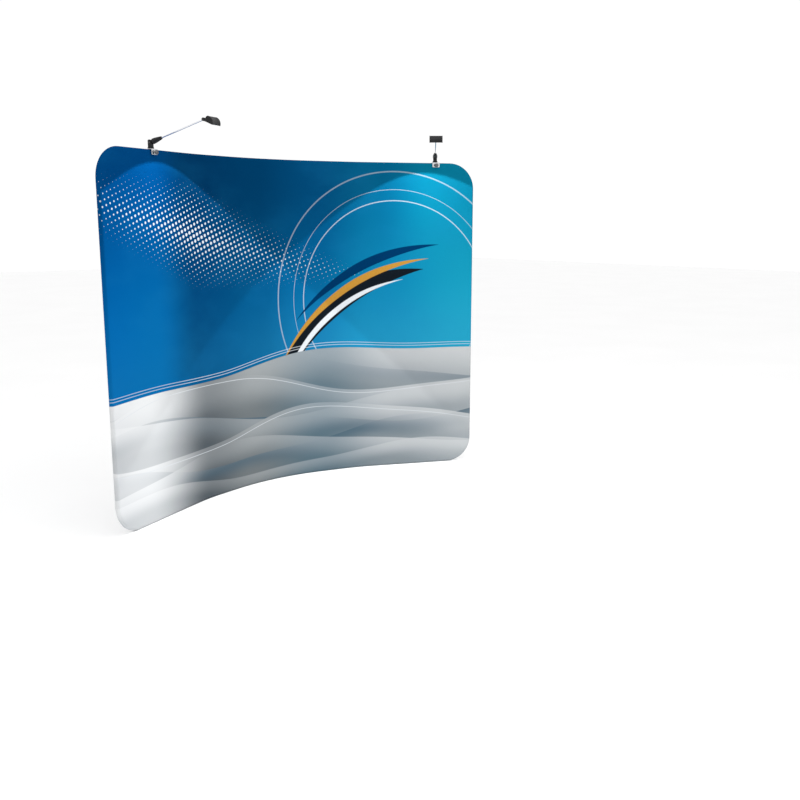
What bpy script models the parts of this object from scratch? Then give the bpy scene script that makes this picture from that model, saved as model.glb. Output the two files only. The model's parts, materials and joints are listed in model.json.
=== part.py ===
"""Curved tension fabric display: a push-fit tube frame inside a stretched pillowcase, with two clip-on lamps.

Metres, +Z up. The display is hollow towards -Y, where it is looked at from. The build starts on the centre line
of the rails, with the deepest point of the curve at the origin, and one empty then carries the whole object so
that its origin is the centre of its bounding box at floor level. Along the curve, s is the developed distance from
the middle, positive to the viewer's right, and n is the distance from the tubes' axes towards the viewer.
"""
import math

import bmesh
import bpy
from mathutils import Matrix, Vector

# Frame tube
TUBE_RADIUS = 0.016
TUBE_WALL = 0.0012
SPIGOT_CLEARANCE = 0.0004
SPIGOT_RADIUS = TUBE_RADIUS - TUBE_WALL - SPIGOT_CLEARANCE
SPIGOT_LENGTH = 0.060
SHOULDER_LENGTH = 0.00025
JOINT_GAP = 0.0003
TUBE_SIDES = 12

# Fabric round the tube
FABRIC_CLEARANCE = 0.0004
FABRIC_THICKNESS = 0.001
FABRIC_INNER = TUBE_RADIUS + FABRIC_CLEARANCE
FABRIC_OUTER = FABRIC_INNER + FABRIC_THICKNESS
SEAM_ANGLE = math.radians(89.5)
BASE_ANGLE = math.radians(76.2)
WRAP_ANGLES = [0.0, math.radians(18), math.radians(36), math.radians(54), BASE_ANGLE, SEAM_ANGLE]

# The display's developed outline
BEND_RADIUS = 1.44
CENTRE_BEND_END = 0.37
JOIN_AT = 0.45
SIDE_BEND_START = 0.53
SIDE_BEND_END = 0.80
SIDE_AT = 1.554
CORNER_RADIUS = 0.17
CORNER_AT = SIDE_AT - CORNER_RADIUS
CORNER_LEG = 0.040
RAIL_END = CORNER_AT - CORNER_LEG
HEIGHT = 2.296
LOW_AXIS = FABRIC_OUTER * math.sin(BASE_ANGLE)
HIGH_AXIS = HEIGHT - FABRIC_OUTER
LOW_LEG_TOP = LOW_AXIS + CORNER_RADIUS + CORNER_LEG
HIGH_LEG_BOTTOM = HIGH_AXIS - CORNER_RADIUS - CORNER_LEG
UPRIGHT_JOIN = (LOW_AXIS + HIGH_AXIS) / 2
CENTRE_BEND_SEGMENTS = 3
SIDE_BEND_SEGMENTS = 3
CORNER_SEGMENTS = 5

# Snap buttons
BUTTON_RADIUS = 0.0036
BUTTON_HOLE_RADIUS = 0.0041
BUTTON_STAND = 0.003
BUTTON_DOME = 0.0014
BUTTON_CROWN_RADIUS = 0.0022
BUTTON_CROWN_DROP = 0.0005
COLLAR_RADIUS = 0.0048
COLLAR_TOP = 0.0116
COLLAR_THICKNESS = 0.0012
LEAF_WIDTH = 0.007
LEAF_THICKNESS = 0.0008
LEAF_LENGTH = 0.024
HOLE_START = 0.010
HOLE_END = 0.020
BUTTON_STEPS = 10

# Centre post
SADDLE_RADIUS = 0.0158
SADDLE_SHOULDER = 0.010
SADDLE_SPIGOT_LENGTH = 0.050
SADDLE_CLEARANCE = 0.0004
SADDLE_REACH = 0.003
PEG_RADIUS = 0.0036
PEG_HOLE_RADIUS = 0.0042
PEG_DEPTH = 0.006

# Zip along the lower back edge
ZIP_END = 1.30
HEM_TOP = 0.034
ZIP_TOP = 0.062
ZIP_GAP = 0.0003
COIL_WIDTH = 0.005
COIL_CROWN_WIDTH = 0.0025
COIL_HEIGHT = 0.0016
SLIDER_CLEARANCE = 0.0004
SLIDER_LENGTH = 0.014
SLIDER_WIDTH = 0.011
SLIDER_WALL = 0.0014
SLIDER_AT = 1.285
ARCH_LENGTH = 0.006
ARCH_WIDTH = 0.0026
ARCH_LEG = 0.0011
ARCH_SPAN = 0.0024
ARCH_TOP = 0.0012
BAR_LIFT = 0.0013
PULLER_LENGTH = 0.034
PULLER_WIDTH = 0.0088
PULLER_THICKNESS = 0.0013
PULLER_SLOT_END = 0.0043
PULLER_SLOT_WIDTH = 0.0036
PULLER_GRIP_START = 0.0153
PULLER_GRIP_END = 0.0272
PULLER_GRIP_WIDTH = 0.0024

# Lamp clamp
LAMP_LEFT_AT = -1.09
LAMP_RIGHT_AT = 1.27
BRACKET_WIDTH = 0.055
BRACKET_WALL = 0.0025
BRACKET_PLATE = 0.003
BRACKET_GAP = 0.0004
BRACKET_FRONT = 0.0246
BRACKET_DROP = 0.014
BRACKET_CORNER = 0.002
PAD_RADIUS = 0.007
PAD_THICKNESS = 0.0026
SCREW_RADIUS = 0.0025
SCREW_HOLE_RADIUS = 0.0029
KNOB_START = 0.037
KNOB_END = 0.047
KNOB_RADIUS = 0.015
KNOB_LOBES = 6
KNOB_LOBE_DEPTH = 0.0016
KNOB_POINTS = 24

# Lamp arm
RUN_GAP = 0.0004
KNUCKLE_RADIUS = 0.019
KNUCKLE_BASE = 0.009
KNUCKLE_EDGE = 0.0015
SPINDLE_RADIUS = 0.004
SPINDLE_HOLE_RADIUS = 0.0044
ELBOW_HEIGHT = 0.058
ELBOW_RADIUS = 0.0165
TONGUE_HALF = 0.006
CHEEK_THICKNESS = 0.008
KNUCKLE_POST_RADIUS = 0.0171
ELBOW_PIN_RADIUS = 0.003
ELBOW_PIN_HOLE = 0.0034
ELBOW_HEAD_RADIUS = 0.005
PIN_HEAD_THICKNESS = 0.002
SLEEVE_START = 0.0174
SLEEVE_END = 0.084
SLEEVE_WIDE = 0.017
SLEEVE_BELLY = 0.0165
SLEEVE_BELLY_AT = 0.036
TONGUE_RISE = 0.010
SLEEVE_NARROW = 0.0085
ROD_RADIUS = 0.0048
ROD_INSET = 0.024
ARM_LENGTH = 0.390
EYE_RADIUS = 0.0065
EYE_HALF = 0.005
INLET_RADIUS = 0.0028
INLET_DEPTH = 0.007
INLET_HEIGHT = 0.0258
ARM_RISE_LEFT = 18.1
ARM_RISE_RIGHT = 15.3
SWIVEL_LEFT = 5.0
SWIVEL_RIGHT = -16.0

# Lamp head
HEAD_LENGTH = 0.056
HEAD_DEPTH = 0.038
HEAD_WIDTH = 0.091
HEAD_WALL = 0.0025
HEAD_SLOPE_LEFT = 23.5
HEAD_SLOPE_RIGHT = 20.0
HEAD_SETBACK = 0.034
HEAD_LIFT = 0.002
HEAD_EDGE = 0.0016
EAR_RADIUS = 0.010
EAR_THICKNESS = 0.004
EAR_OVERLAP = 0.003
NECK_START = 0.012
NECK_TOP = 0.018
HEAD_PIN_RADIUS = 0.0022
HEAD_PIN_HOLE = 0.0026
HEAD_PIN_HEAD = 0.0038
HEAD_PIN_HEAD_THICKNESS = 0.0016
LENS_THICKNESS = 0.002
LENS_RECESS = 0.0006
LENS_LEDGE = 0.0016
BOARD_THICKNESS = 0.0016
BOARD_HEIGHT = 0.010
BOARD_REACH = 0.048
EMITTER_SIZE = 0.005
EMITTER_HEIGHT = 0.0012
EMITTER_SINK = 0.0003
EMITTER_COLUMNS = 4
EMITTER_ROWS = 2
EMITTER_PITCH = 0.021
EMITTER_ROW_PITCH = 0.018
EMITTER_FIRST = 0.062

ROUND_STEPS = 16
SMALL_STEPS = 12
WELD = 0.00002
MERGE = 0.0001
CUT_SPAN = 0.1
SMOOTH_ANGLE = math.radians(40)
LEAD_TOLERANCE = math.radians(0.1)

for old in list(bpy.data.objects):
    bpy.data.objects.remove(old, do_unlink=True)

parts = bpy.data.collections.new("curved_fabric_display")
cutters = bpy.data.collections.new("cutters")
bpy.context.scene.collection.children.link(parts)
bpy.context.scene.collection.children.link(cutters)


def make_material(name, colour, roughness, metallic):
    """A plain surface of one colour."""
    material = bpy.data.materials.new(name)
    material.use_nodes = True
    shader = material.node_tree.nodes["Principled BSDF"]
    shader.inputs["Base Color"].default_value = (*colour, 1.0)
    shader.inputs["Roughness"].default_value = roughness
    shader.inputs["Metallic"].default_value = metallic
    return material


TUBE_METAL = make_material("tube_metal", (0.72, 0.73, 0.75), 0.35, 1.0)
BUTTON_STEEL = make_material("button_steel", (0.60, 0.60, 0.62), 0.30, 1.0)
SADDLE_PLASTIC = make_material("saddle_plastic", (0.03, 0.03, 0.03), 0.50, 0.0)
PRINTED_FABRIC = make_material("printed_fabric", (0.05, 0.25, 0.55), 0.80, 0.0)
PLAIN_FABRIC = make_material("plain_fabric", (0.80, 0.81, 0.82), 0.85, 0.0)
ZIP_NYLON = make_material("zip_nylon", (0.78, 0.78, 0.78), 0.60, 0.0)
ZIP_METAL = make_material("zip_metal", (0.62, 0.62, 0.64), 0.30, 1.0)
BRACKET_METAL = make_material("bracket_metal", (0.70, 0.70, 0.72), 0.28, 1.0)
ARM_BLACK = make_material("arm_black", (0.02, 0.02, 0.022), 0.40, 0.0)
ROD_CHROME = make_material("rod_chrome", (0.78, 0.78, 0.80), 0.15, 1.0)
PIN_STEEL = make_material("pin_steel", (0.55, 0.55, 0.57), 0.30, 1.0)
PAD_RUBBER = make_material("pad_rubber", (0.03, 0.03, 0.03), 0.80, 0.0)
BOARD_WHITE = make_material("board_white", (0.80, 0.80, 0.78), 0.50, 0.0)
LENS_CLEAR = make_material("lens_clear", (0.90, 0.93, 0.98), 0.30, 0.0)


def empty(name, parent=None, place=(0.0, 0.0, 0.0), turn=(0.0, 0.0, 0.0)):
    """An axis or carrier that other objects ride on."""
    carrier = bpy.data.objects.new(name, None)
    parts.objects.link(carrier)
    carrier.parent = parent
    carrier.location = place
    carrier.rotation_euler = turn
    return carrier


WHOLE = empty("whole_display")


def place_part(name, mesh, material, parent, place=(0.0, 0.0, 0.0), turn=None):
    """A finished piece, carried by its parent."""
    piece = bpy.data.objects.new(name, mesh)
    parts.objects.link(piece)
    if not mesh.materials:
        mesh.materials.append(material)
    piece.parent = parent
    piece.location = place
    if turn is not None:
        piece.rotation_euler = turn.to_euler()
    mesh.shade_smooth()
    mesh.set_sharp_from_angle(angle=SMOOTH_ANGLE)
    return piece


def as_mesh(obj):
    """The welded mesh that an object evaluates to; the object itself is removed."""
    bpy.context.view_layer.update()
    graph = bpy.context.evaluated_depsgraph_get()
    mesh = bpy.data.meshes.new_from_object(obj.evaluated_get(graph), depsgraph=graph)
    shell = bmesh.new()
    shell.from_mesh(mesh)
    bmesh.ops.remove_doubles(shell, verts=shell.verts, dist=WELD)
    shell.to_mesh(mesh)
    shell.free()
    mesh.transform(obj.matrix_world)
    bpy.data.objects.remove(obj, do_unlink=True)
    return mesh


def scratch_object(data):
    """An object that exists only until it has been turned into a mesh."""
    obj = bpy.data.objects.new("scratch", data)
    bpy.context.scene.collection.objects.link(obj)
    return obj


def combine(base, other, operation):
    """One mesh from two, by a Boolean."""
    body = scratch_object(base)
    tool = scratch_object(other)
    step = body.modifiers.new("combine", "BOOLEAN")
    step.operation = operation
    step.solver = "EXACT"
    step.object = tool
    mesh = as_mesh(body)
    bpy.data.objects.remove(tool, do_unlink=True)
    return mesh


def union(base, *others):
    """Base with each of the others added."""
    for other in others:
        base = combine(base, other, "UNION")
    return base


def cut(base, *others):
    """Base with each of the others taken away."""
    for other in others:
        base = combine(base, other, "DIFFERENCE")
    return base


def box(low, high):
    """A box between two corners."""
    low = Vector(low)
    high = Vector(high)
    shell = bmesh.new()
    bmesh.ops.create_cube(shell, size=1.0)
    size = high - low
    bmesh.ops.transform(shell, matrix=Matrix.Translation((low + high) / 2) @ Matrix.Diagonal((*size, 1.0)),
                        verts=shell.verts)
    mesh = bpy.data.meshes.new("box")
    shell.to_mesh(mesh)
    shell.free()
    return mesh


def cylinder(radius, start, end, axis, sides=ROUND_STEPS, far_radius=None):
    """A cylinder or cone from start to end along an axis through the origin."""
    shell = bmesh.new()
    far = radius if far_radius is None else far_radius
    bmesh.ops.create_cone(shell, cap_ends=True, segments=sides, radius1=radius, radius2=far, depth=end - start)
    heading = Vector((0.0, 0.0, 1.0)).rotation_difference(Vector(axis)).to_matrix().to_4x4()
    shift = Matrix.Translation((0.0, 0.0, (start + end) / 2))
    bmesh.ops.transform(shell, matrix=heading @ shift, verts=shell.verts)
    mesh = bpy.data.meshes.new("cylinder")
    shell.to_mesh(mesh)
    shell.free()
    return mesh


def shifted(mesh, place):
    """The mesh, moved."""
    mesh.transform(Matrix.Translation(place))
    return mesh


def turned(profile, steps):
    """A turned solid about Z; the profile runs from the top of the axis down the outer side to the bottom."""
    shell = bmesh.new()
    corners = [shell.verts.new((radius, 0.0, height)) for radius, height in profile]
    for first, second in zip(corners, corners[1:]):
        shell.edges.new((first, second))
    mesh = bpy.data.meshes.new("turned")
    shell.to_mesh(mesh)
    shell.free()
    obj = scratch_object(mesh)
    spin = obj.modifiers.new("turn", "SCREW")
    spin.steps = steps
    spin.render_steps = steps
    spin.use_merge_vertices = True
    spin.merge_threshold = MERGE
    return as_mesh(obj)


def slab(outline, half_thickness, columns):
    """A flat outline with thickness; columns say where its own X, Y and Z point."""
    curve = bpy.data.curves.new("slab", "CURVE")
    curve.dimensions = "2D"
    curve.fill_mode = "BOTH"
    curve.extrude = half_thickness
    spline = curve.splines.new("POLY")
    spline.points.add(len(outline) - 1)
    for point, (across, up) in zip(spline.points, outline):
        point.co = (across, up, 0.0, 1.0)
    spline.use_cyclic_u = True
    mesh = as_mesh(scratch_object(curve))
    mesh.transform(Matrix([Vector(column) for column in columns]).transposed().to_4x4())
    return mesh


# Slabs that stand in the lamp's Y-Z plane: outline x runs to the front, outline y runs up.
SIDE_ON = ((0.0, -1.0, 0.0), (0.0, 0.0, 1.0), (-1.0, 0.0, 0.0))


def softened(mesh, width, segments=1):
    """The mesh with its sharp edges bevelled."""
    obj = scratch_object(mesh)
    edge = obj.modifiers.new("edges", "BEVEL")
    edge.width = width
    edge.segments = segments
    edge.limit_method = "ANGLE"
    edge.angle_limit = SMOOTH_ANGLE
    return as_mesh(obj)


def plan(s):
    """Where developed distance s falls in plan, and how far the curve has turned there."""
    across = 0.0
    depth = 0.0
    turn = 0.0
    stretches = ((CENTRE_BEND_END, True), (SIDE_BEND_START, False), (SIDE_BEND_END, True), (math.inf, False))
    start = 0.0
    for end, bent in stretches:
        length = min(abs(s), end) - start
        if bent:
            after = turn + length / BEND_RADIUS
            across += BEND_RADIUS * (math.sin(after) - math.sin(turn))
            depth += BEND_RADIUS * (math.cos(after) - math.cos(turn))
            turn = after
        else:
            across += length * math.cos(turn)
            depth -= length * math.sin(turn)
        start = end
        if abs(s) <= end:
            break
    side = -1.0 if s < 0 else 1.0
    return side * across, depth, side * turn


def front(s):
    """The direction towards the viewer, square to the curve at s."""
    turn = plan(s)[2]
    return Vector((-math.sin(turn), -math.cos(turn), 0.0))


def along(s):
    """The direction of growing s."""
    turn = plan(s)[2]
    return Vector((math.cos(turn), -math.sin(turn), 0.0))


def spot(s, height, n=0.0):
    """The point at developed distance s, n in front of the tubes' axes."""
    across, depth, turn = plan(s)
    return Vector((across, depth, height)) + n * front(s)


def bend_steps(start, end, count):
    """Evenly spaced stations through one bend."""
    return [start + (end - start) * step / count for step in range(count + 1)]


CENTRE_STATIONS = bend_steps(-CENTRE_BEND_END, CENTRE_BEND_END, 2 * CENTRE_BEND_SEGMENTS)
SIDE_STATIONS = bend_steps(SIDE_BEND_START, SIDE_BEND_END, SIDE_BEND_SEGMENTS)
QUARTER = math.pi / 2
CORNER_ANGLES = [QUARTER * step / CORNER_SEGMENTS for step in range(CORNER_SEGMENTS + 1)]


def lead_angle(obj, path, reference):
    """How far the first ring's nearest corner stands from the reference direction, about the path."""
    bpy.context.view_layer.update()
    graph = bpy.context.evaluated_depsgraph_get()
    mesh = bpy.data.meshes.new_from_object(obj.evaluated_get(graph), depsgraph=graph)
    heading = (path[1] - path[0]).normalized()
    side = heading.cross(reference)
    reach = max((vert.co - path[0]).length for vert in mesh.vertices if abs((vert.co - path[0]).dot(heading)) < WELD)
    pitch = 2 * math.pi / TUBE_SIDES
    angles = []
    for vert in mesh.vertices:
        arm = vert.co - path[0]
        if abs(arm.dot(heading)) < WELD and arm.length < reach + WELD:
            angle = math.atan2(arm.dot(side), arm.dot(reference))
            angles.append((angle + pitch / 2) % pitch - pitch / 2)
    bpy.data.meshes.remove(mesh)
    return min(angles, key=abs)


def tube(name, path, radii, reference, hole_cutters):
    """One tube section: a swept round with its own wall thickness, and its button holes."""
    curve = bpy.data.curves.new(name, "CURVE")
    curve.dimensions = "3D"
    curve.bevel_depth = TUBE_RADIUS
    curve.bevel_resolution = (TUBE_SIDES - 4) // 2
    curve.twist_mode = "MINIMUM"
    spline = curve.splines.new("POLY")
    spline.points.add(len(path) - 1)
    for point, place, radius in zip(spline.points, path, radii):
        point.co = (*place, 1.0)
        point.radius = radius / TUBE_RADIUS
    obj = scratch_object(curve)
    lead = lead_angle(obj, path, reference)
    for sense in (1.0, -1.0):
        for point in spline.points:
            point.tilt = sense * lead
        if abs(lead_angle(obj, path, reference)) < LEAD_TOLERANCE:
            break
    mesh = as_mesh(obj)
    piece = place_part(name, mesh, TUBE_METAL, WHOLE)
    wall = piece.modifiers.new("wall", "SOLIDIFY")
    wall.thickness = TUBE_WALL
    wall.offset = -1.0
    wall.use_even_offset = True
    for hole in hole_cutters:
        step = piece.modifiers.new("hole", "BOOLEAN")
        step.operation = "DIFFERENCE"
        step.solver = "EXACT"
        step.object = hole
    return piece


def hole_cutter(name, place, inward, radius=BUTTON_HOLE_RADIUS):
    """A cutter through one wall of the tubes at a place on their axis."""
    tool = bpy.data.objects.new(name, cylinder(radius, HOLE_START, HOLE_END, inward, SMALL_STEPS))
    cutters.objects.link(tool)
    tool.parent = WHOLE
    tool.location = place
    tool.hide_render = True
    tool.display_type = "WIRE"
    return tool


def button_mesh():
    """A domed button with its collar and leaf; its own Z points out of the tube and its X along the leaf."""
    top = TUBE_RADIUS + BUTTON_STAND
    low = COLLAR_TOP - COLLAR_THICKNESS
    profile = [(0.0, top), (BUTTON_CROWN_RADIUS, top - BUTTON_CROWN_DROP), (BUTTON_RADIUS, top - BUTTON_DOME),
               (BUTTON_RADIUS, COLLAR_TOP), (COLLAR_RADIUS, COLLAR_TOP), (COLLAR_RADIUS, low), (0.0, low)]
    leaf_low = low + (COLLAR_THICKNESS - LEAF_THICKNESS) / 2
    leaf = box((0.0, -LEAF_WIDTH / 2, leaf_low), (LEAF_LENGTH, LEAF_WIDTH / 2, leaf_low + LEAF_THICKNESS))
    return union(turned(profile, BUTTON_STEPS), leaf)


BUTTON_MESH = button_mesh()


def snap_button(name, place, inward, leaf_way):
    """A button in its hole, with its leaf running back into the tube that carries it."""
    third = inward.cross(leaf_way)
    turn = Matrix((leaf_way, third, inward)).transposed()
    place_part(name, BUTTON_MESH, BUTTON_STEEL, WHOLE, place, turn)
    return hole_cutter("hole_" + name, place, inward)


UP = Vector((0.0, 0.0, 1.0))
DOWN = Vector((0.0, 0.0, -1.0))
SIDES = (("left", -1.0), ("right", 1.0))
LEVELS = (("bottom", LOW_AXIS, 1.0), ("top", HIGH_AXIS, -1.0))
MID_SPIGOT = SPIGOT_LENGTH / 2
holes = {}


def with_spigots(path, tangents, start_spigot, end_spigot):
    """A path with its swaged ends added, and the radius at each of its points."""
    points = list(path)
    radii = [TUBE_RADIUS] * len(points)
    if start_spigot:
        way = -tangents[0]
        points = [path[0] + way * SPIGOT_LENGTH, path[0] + way * SHOULDER_LENGTH] + points
        radii = [SPIGOT_RADIUS, SPIGOT_RADIUS] + radii
    if end_spigot:
        way = tangents[1]
        points = points + [path[-1] + way * SHOULDER_LENGTH, path[-1] + way * SPIGOT_LENGTH]
        radii = radii + [SPIGOT_RADIUS, SPIGOT_RADIUS]
    return points, radii


# Buttons first, because both tubes at each joint are cut for them.
for level, axis_height, inward_sign in LEVELS:
    inward = UP * inward_sign
    for side, sign in SIDES:
        name = f"button_{level}_{side}_inner"
        place = spot(sign * (JOIN_AT + MID_SPIGOT), axis_height)
        holes[name] = snap_button(name, place, inward, along(sign * JOIN_AT) * -sign)
        name = f"button_{level}_{side}_outer"
        place = spot(sign * (RAIL_END - MID_SPIGOT), axis_height)
        holes[name] = snap_button(name, place, inward, along(sign * RAIL_END) * sign)
        name = f"button_{level}_{side}_side"
        leg = LOW_LEG_TOP if inward_sign > 0 else HIGH_LEG_BOTTOM
        place = spot(sign * SIDE_AT, leg + inward_sign * MID_SPIGOT)
        holes[name] = snap_button(name, place, along(sign * SIDE_AT) * -sign, inward * -1.0)
for side, sign in SIDES:
    name = f"button_{side}_middle"
    place = spot(sign * SIDE_AT, UPRIGHT_JOIN - MID_SPIGOT)
    holes[name] = snap_button(name, place, along(sign * SIDE_AT) * -sign, UP)

# Rails and corners
for level, axis_height, inward_sign in LEVELS:
    inward = UP * inward_sign
    stations = [-JOIN_AT] + CENTRE_STATIONS + [JOIN_AT]
    path = [spot(s, axis_height) for s in stations]
    path, radii = with_spigots(path, (along(-JOIN_AT), along(JOIN_AT)), True, True)
    peg_hole = hole_cutter(f"hole_post_{level}", Vector((0.0, 0.0, axis_height)), inward, PEG_HOLE_RADIUS)
    tube(f"rail_{level}_centre", path, radii, front(-JOIN_AT),
         [holes[f"button_{level}_left_inner"], holes[f"button_{level}_right_inner"], peg_hole])
    for side, sign in SIDES:
        stations = [JOIN_AT + JOINT_GAP] + SIDE_STATIONS + [RAIL_END - JOINT_GAP]
        path = [spot(sign * s, axis_height) for s in stations]
        tube(f"rail_{level}_{side}", path, [TUBE_RADIUS] * len(path), front(sign * JOIN_AT),
             [holes[f"button_{level}_{side}_inner"], holes[f"button_{level}_{side}_outer"]])
        path = [spot(sign * RAIL_END, axis_height)]
        for angle in CORNER_ANGLES:
            rise = CORNER_RADIUS * (1 - math.cos(angle))
            path.append(spot(sign * (CORNER_AT + CORNER_RADIUS * math.sin(angle)), axis_height + inward_sign * rise))
        leg = LOW_LEG_TOP if inward_sign > 0 else HIGH_LEG_BOTTOM
        path.append(spot(sign * SIDE_AT, leg))
        path, radii = with_spigots(path, (along(sign * RAIL_END) * sign, inward), True, True)
        tube(f"corner_{level}_{side}", path, radii, front(sign * RAIL_END),
             [holes[f"button_{level}_{side}_outer"], holes[f"button_{level}_{side}_side"]])

# Uprights
for side, sign in SIDES:
    low_path = [spot(sign * SIDE_AT, LOW_LEG_TOP + JOINT_GAP), spot(sign * SIDE_AT, UPRIGHT_JOIN - JOINT_GAP)]
    tube(f"upright_{side}_lower", low_path, [TUBE_RADIUS] * 2, front(sign * SIDE_AT),
         [holes[f"button_bottom_{side}_side"], holes[f"button_{side}_middle"]])
    high_path = [spot(sign * SIDE_AT, UPRIGHT_JOIN), spot(sign * SIDE_AT, HIGH_LEG_BOTTOM - JOINT_GAP)]
    high_path, radii = with_spigots(high_path, (UP, UP), True, False)
    tube(f"upright_{side}_upper", high_path, radii, front(sign * SIDE_AT),
         [holes[f"button_top_{side}_side"], holes[f"button_{side}_middle"]])

# Centre post: its two sections slide together, and a saddle at each end seats on its rail.
SADDLE_FACE = TUBE_RADIUS + SADDLE_SHOULDER
low_path = [Vector((0.0, 0.0, LOW_AXIS + SADDLE_FACE + JOINT_GAP)), Vector((0.0, 0.0, UPRIGHT_JOIN - JOINT_GAP))]
tube("post_lower", low_path, [TUBE_RADIUS] * 2, front(0.0), [])
high_path = [Vector((0.0, 0.0, UPRIGHT_JOIN)), Vector((0.0, 0.0, HIGH_AXIS - SADDLE_FACE - JOINT_GAP))]
high_path, radii = with_spigots(high_path, (UP, UP), True, False)
tube("post_upper", high_path, radii, front(0.0), [])


def saddle_mesh():
    """A saddle above a rail whose axis is at the origin: cradle, peg into the rail and spigot into the post."""
    cradle_low = TUBE_RADIUS + SADDLE_CLEARANCE - SADDLE_REACH
    spigot_top = SADDLE_FACE + SADDLE_SPIGOT_LENGTH
    body = turned([(0.0, spigot_top), (SPIGOT_RADIUS, spigot_top), (SPIGOT_RADIUS, SADDLE_FACE),
                   (SADDLE_RADIUS, SADDLE_FACE), (SADDLE_RADIUS, cradle_low), (0.0, cradle_low)], TUBE_SIDES)
    body.transform(Matrix.Rotation(QUARTER, 4, "Z"))
    rail_cut = cylinder(TUBE_RADIUS + SADDLE_CLEARANCE, -CUT_SPAN, CUT_SPAN, (1.0, 0.0, 0.0), 2 * TUBE_SIDES)
    peg = cylinder(PEG_RADIUS, TUBE_RADIUS - PEG_DEPTH, TUBE_RADIUS + SADDLE_SHOULDER / 2, (0.0, 0.0, 1.0),
                   SMALL_STEPS)
    return union(cut(body, rail_cut), peg)


bottom_saddle = saddle_mesh()
top_saddle = bottom_saddle.copy()
top_saddle.transform(Matrix.Rotation(math.pi, 4, "X"))
place_part("saddle_bottom", bottom_saddle, SADDLE_PLASTIC, WHOLE, (0.0, 0.0, LOW_AXIS))
place_part("saddle_top", top_saddle, SADDLE_PLASTIC, WHOLE, (0.0, 0.0, HIGH_AXIS))


def outline_columns():
    """Stations across the whole display: developed distance, rise of the corner, and outward way of the edge."""
    half = []
    for s in [0.0] + [s for s in CENTRE_STATIONS if s > WELD] + SIDE_STATIONS + [ZIP_END]:
        half.append((s, 0.0, 0.0, -1.0))
    for angle in CORNER_ANGLES:
        half.append((CORNER_AT + CORNER_RADIUS * math.sin(angle), CORNER_RADIUS * (1 - math.cos(angle)),
                     math.sin(angle), -math.cos(angle)))
    mirrored = [(-s, rise, -out, down) for s, rise, out, down in reversed(half[1:])]
    return mirrored + half


def finish_cloth(name, verts, faces, material):
    """Gives an open cloth surface its thickness, and cuts what it stands on flat at the floor."""
    mesh = bpy.data.meshes.new(name)
    mesh.from_pydata(verts, [], faces)
    obj = scratch_object(mesh)
    cloth = obj.modifiers.new("thickness", "SOLIDIFY")
    cloth.thickness = FABRIC_THICKNESS
    cloth.offset = 1.0
    cloth.use_even_offset = True
    solid = as_mesh(obj)
    for vert in solid.vertices:
        vert.co.z = max(vert.co.z, 0.0)
    return place_part(name, solid, material, WHOLE)


def fabric_panel(name, facing, material, notched):
    """One face of the pillowcase, wrapped round the tubes to the seam; a notched one leaves room for the zip."""
    columns = outline_columns()
    verts = []
    ring = {}
    for i, (s, rise, out, down) in enumerate(columns):
        for edge, centre, sense in (("low", LOW_AXIS + rise, 1.0), ("high", HIGH_AXIS - rise, -1.0)):
            for k, angle in enumerate(WRAP_ANGLES):
                reach = FABRIC_INNER * math.sin(angle)
                ring[i, edge, k] = len(verts)
                verts.append(spot(s + out * reach, centre + sense * down * reach,
                                  facing * FABRIC_INNER * math.cos(angle)))
    notch = {}
    if notched:
        for i, (s, rise, out, down) in enumerate(columns):
            if abs(s) < ZIP_END + WELD:
                notch[i] = len(verts)
                verts.append(spot(s, ZIP_TOP, facing * FABRIC_INNER))
    faces = []
    last = len(columns) - 1
    steps = range(len(WRAP_ANGLES) - 1)
    for i in range(last):
        inside = i in notch and i + 1 in notch
        low = [notch[i], notch[i + 1]] if inside else [ring[i, "low", 0], ring[i + 1, "low", 0]]
        high = [ring[i + 1, "high", 0], ring[i, "high", 0]]
        if i in notch and not inside:
            high = high + [notch[i]]
        if i + 1 in notch and not inside:
            high = [notch[i + 1]] + high
        faces.append(low + high)
        for k in steps:
            faces.append([ring[i, "high", k], ring[i + 1, "high", k], ring[i + 1, "high", k + 1],
                          ring[i, "high", k + 1]])
            if not inside:
                faces.append([ring[i, "low", k + 1], ring[i + 1, "low", k + 1], ring[i + 1, "low", k],
                              ring[i, "low", k]])
    for k in steps:
        faces.append([ring[last, "low", k], ring[last, "low", k + 1], ring[last, "high", k + 1],
                      ring[last, "high", k]])
        faces.append([ring[0, "low", k + 1], ring[0, "low", k], ring[0, "high", k], ring[0, "high", k + 1]])
    if facing < 0:
        faces = [face[::-1] for face in faces]
    used = sorted({index for face in faces for index in face})
    order = {index: new for new, index in enumerate(used)}
    verts = [verts[index] for index in used]
    faces = [[order[index] for index in face] for face in faces]
    return finish_cloth(name, verts, faces, material)


def hem_panel(name, material):
    """The strip from the seam under the bottom rail up the back to the zip."""
    stations = [s for s, rise, out, down in outline_columns() if abs(s) < ZIP_END - WELD]
    stations = [JOINT_GAP - ZIP_END] + stations + [ZIP_END - JOINT_GAP]
    verts = []
    for s in stations:
        for angle in reversed(WRAP_ANGLES):
            verts.append(spot(s, LOW_AXIS - FABRIC_INNER * math.sin(angle), -FABRIC_INNER * math.cos(angle)))
        verts.append(spot(s, HEM_TOP, -FABRIC_INNER))
    count = len(WRAP_ANGLES) + 1
    faces = []
    for i in range(len(stations) - 1):
        for k in range(count - 1):
            first = i * count + k
            faces.append([first + count, first, first + 1, first + count + 1])
    return finish_cloth(name, verts, faces, material)


fabric_panel("fabric_front", 1.0, PRINTED_FABRIC, False)
fabric_panel("fabric_back", -1.0, PLAIN_FABRIC, True)
hem_panel("fabric_hem", PLAIN_FABRIC)

# Zip chain: its tapes fill the gap between hem and back panel, and its coil stands out along the middle.
ZIP_MIDDLE = (HEM_TOP + ZIP_TOP) / 2


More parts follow.
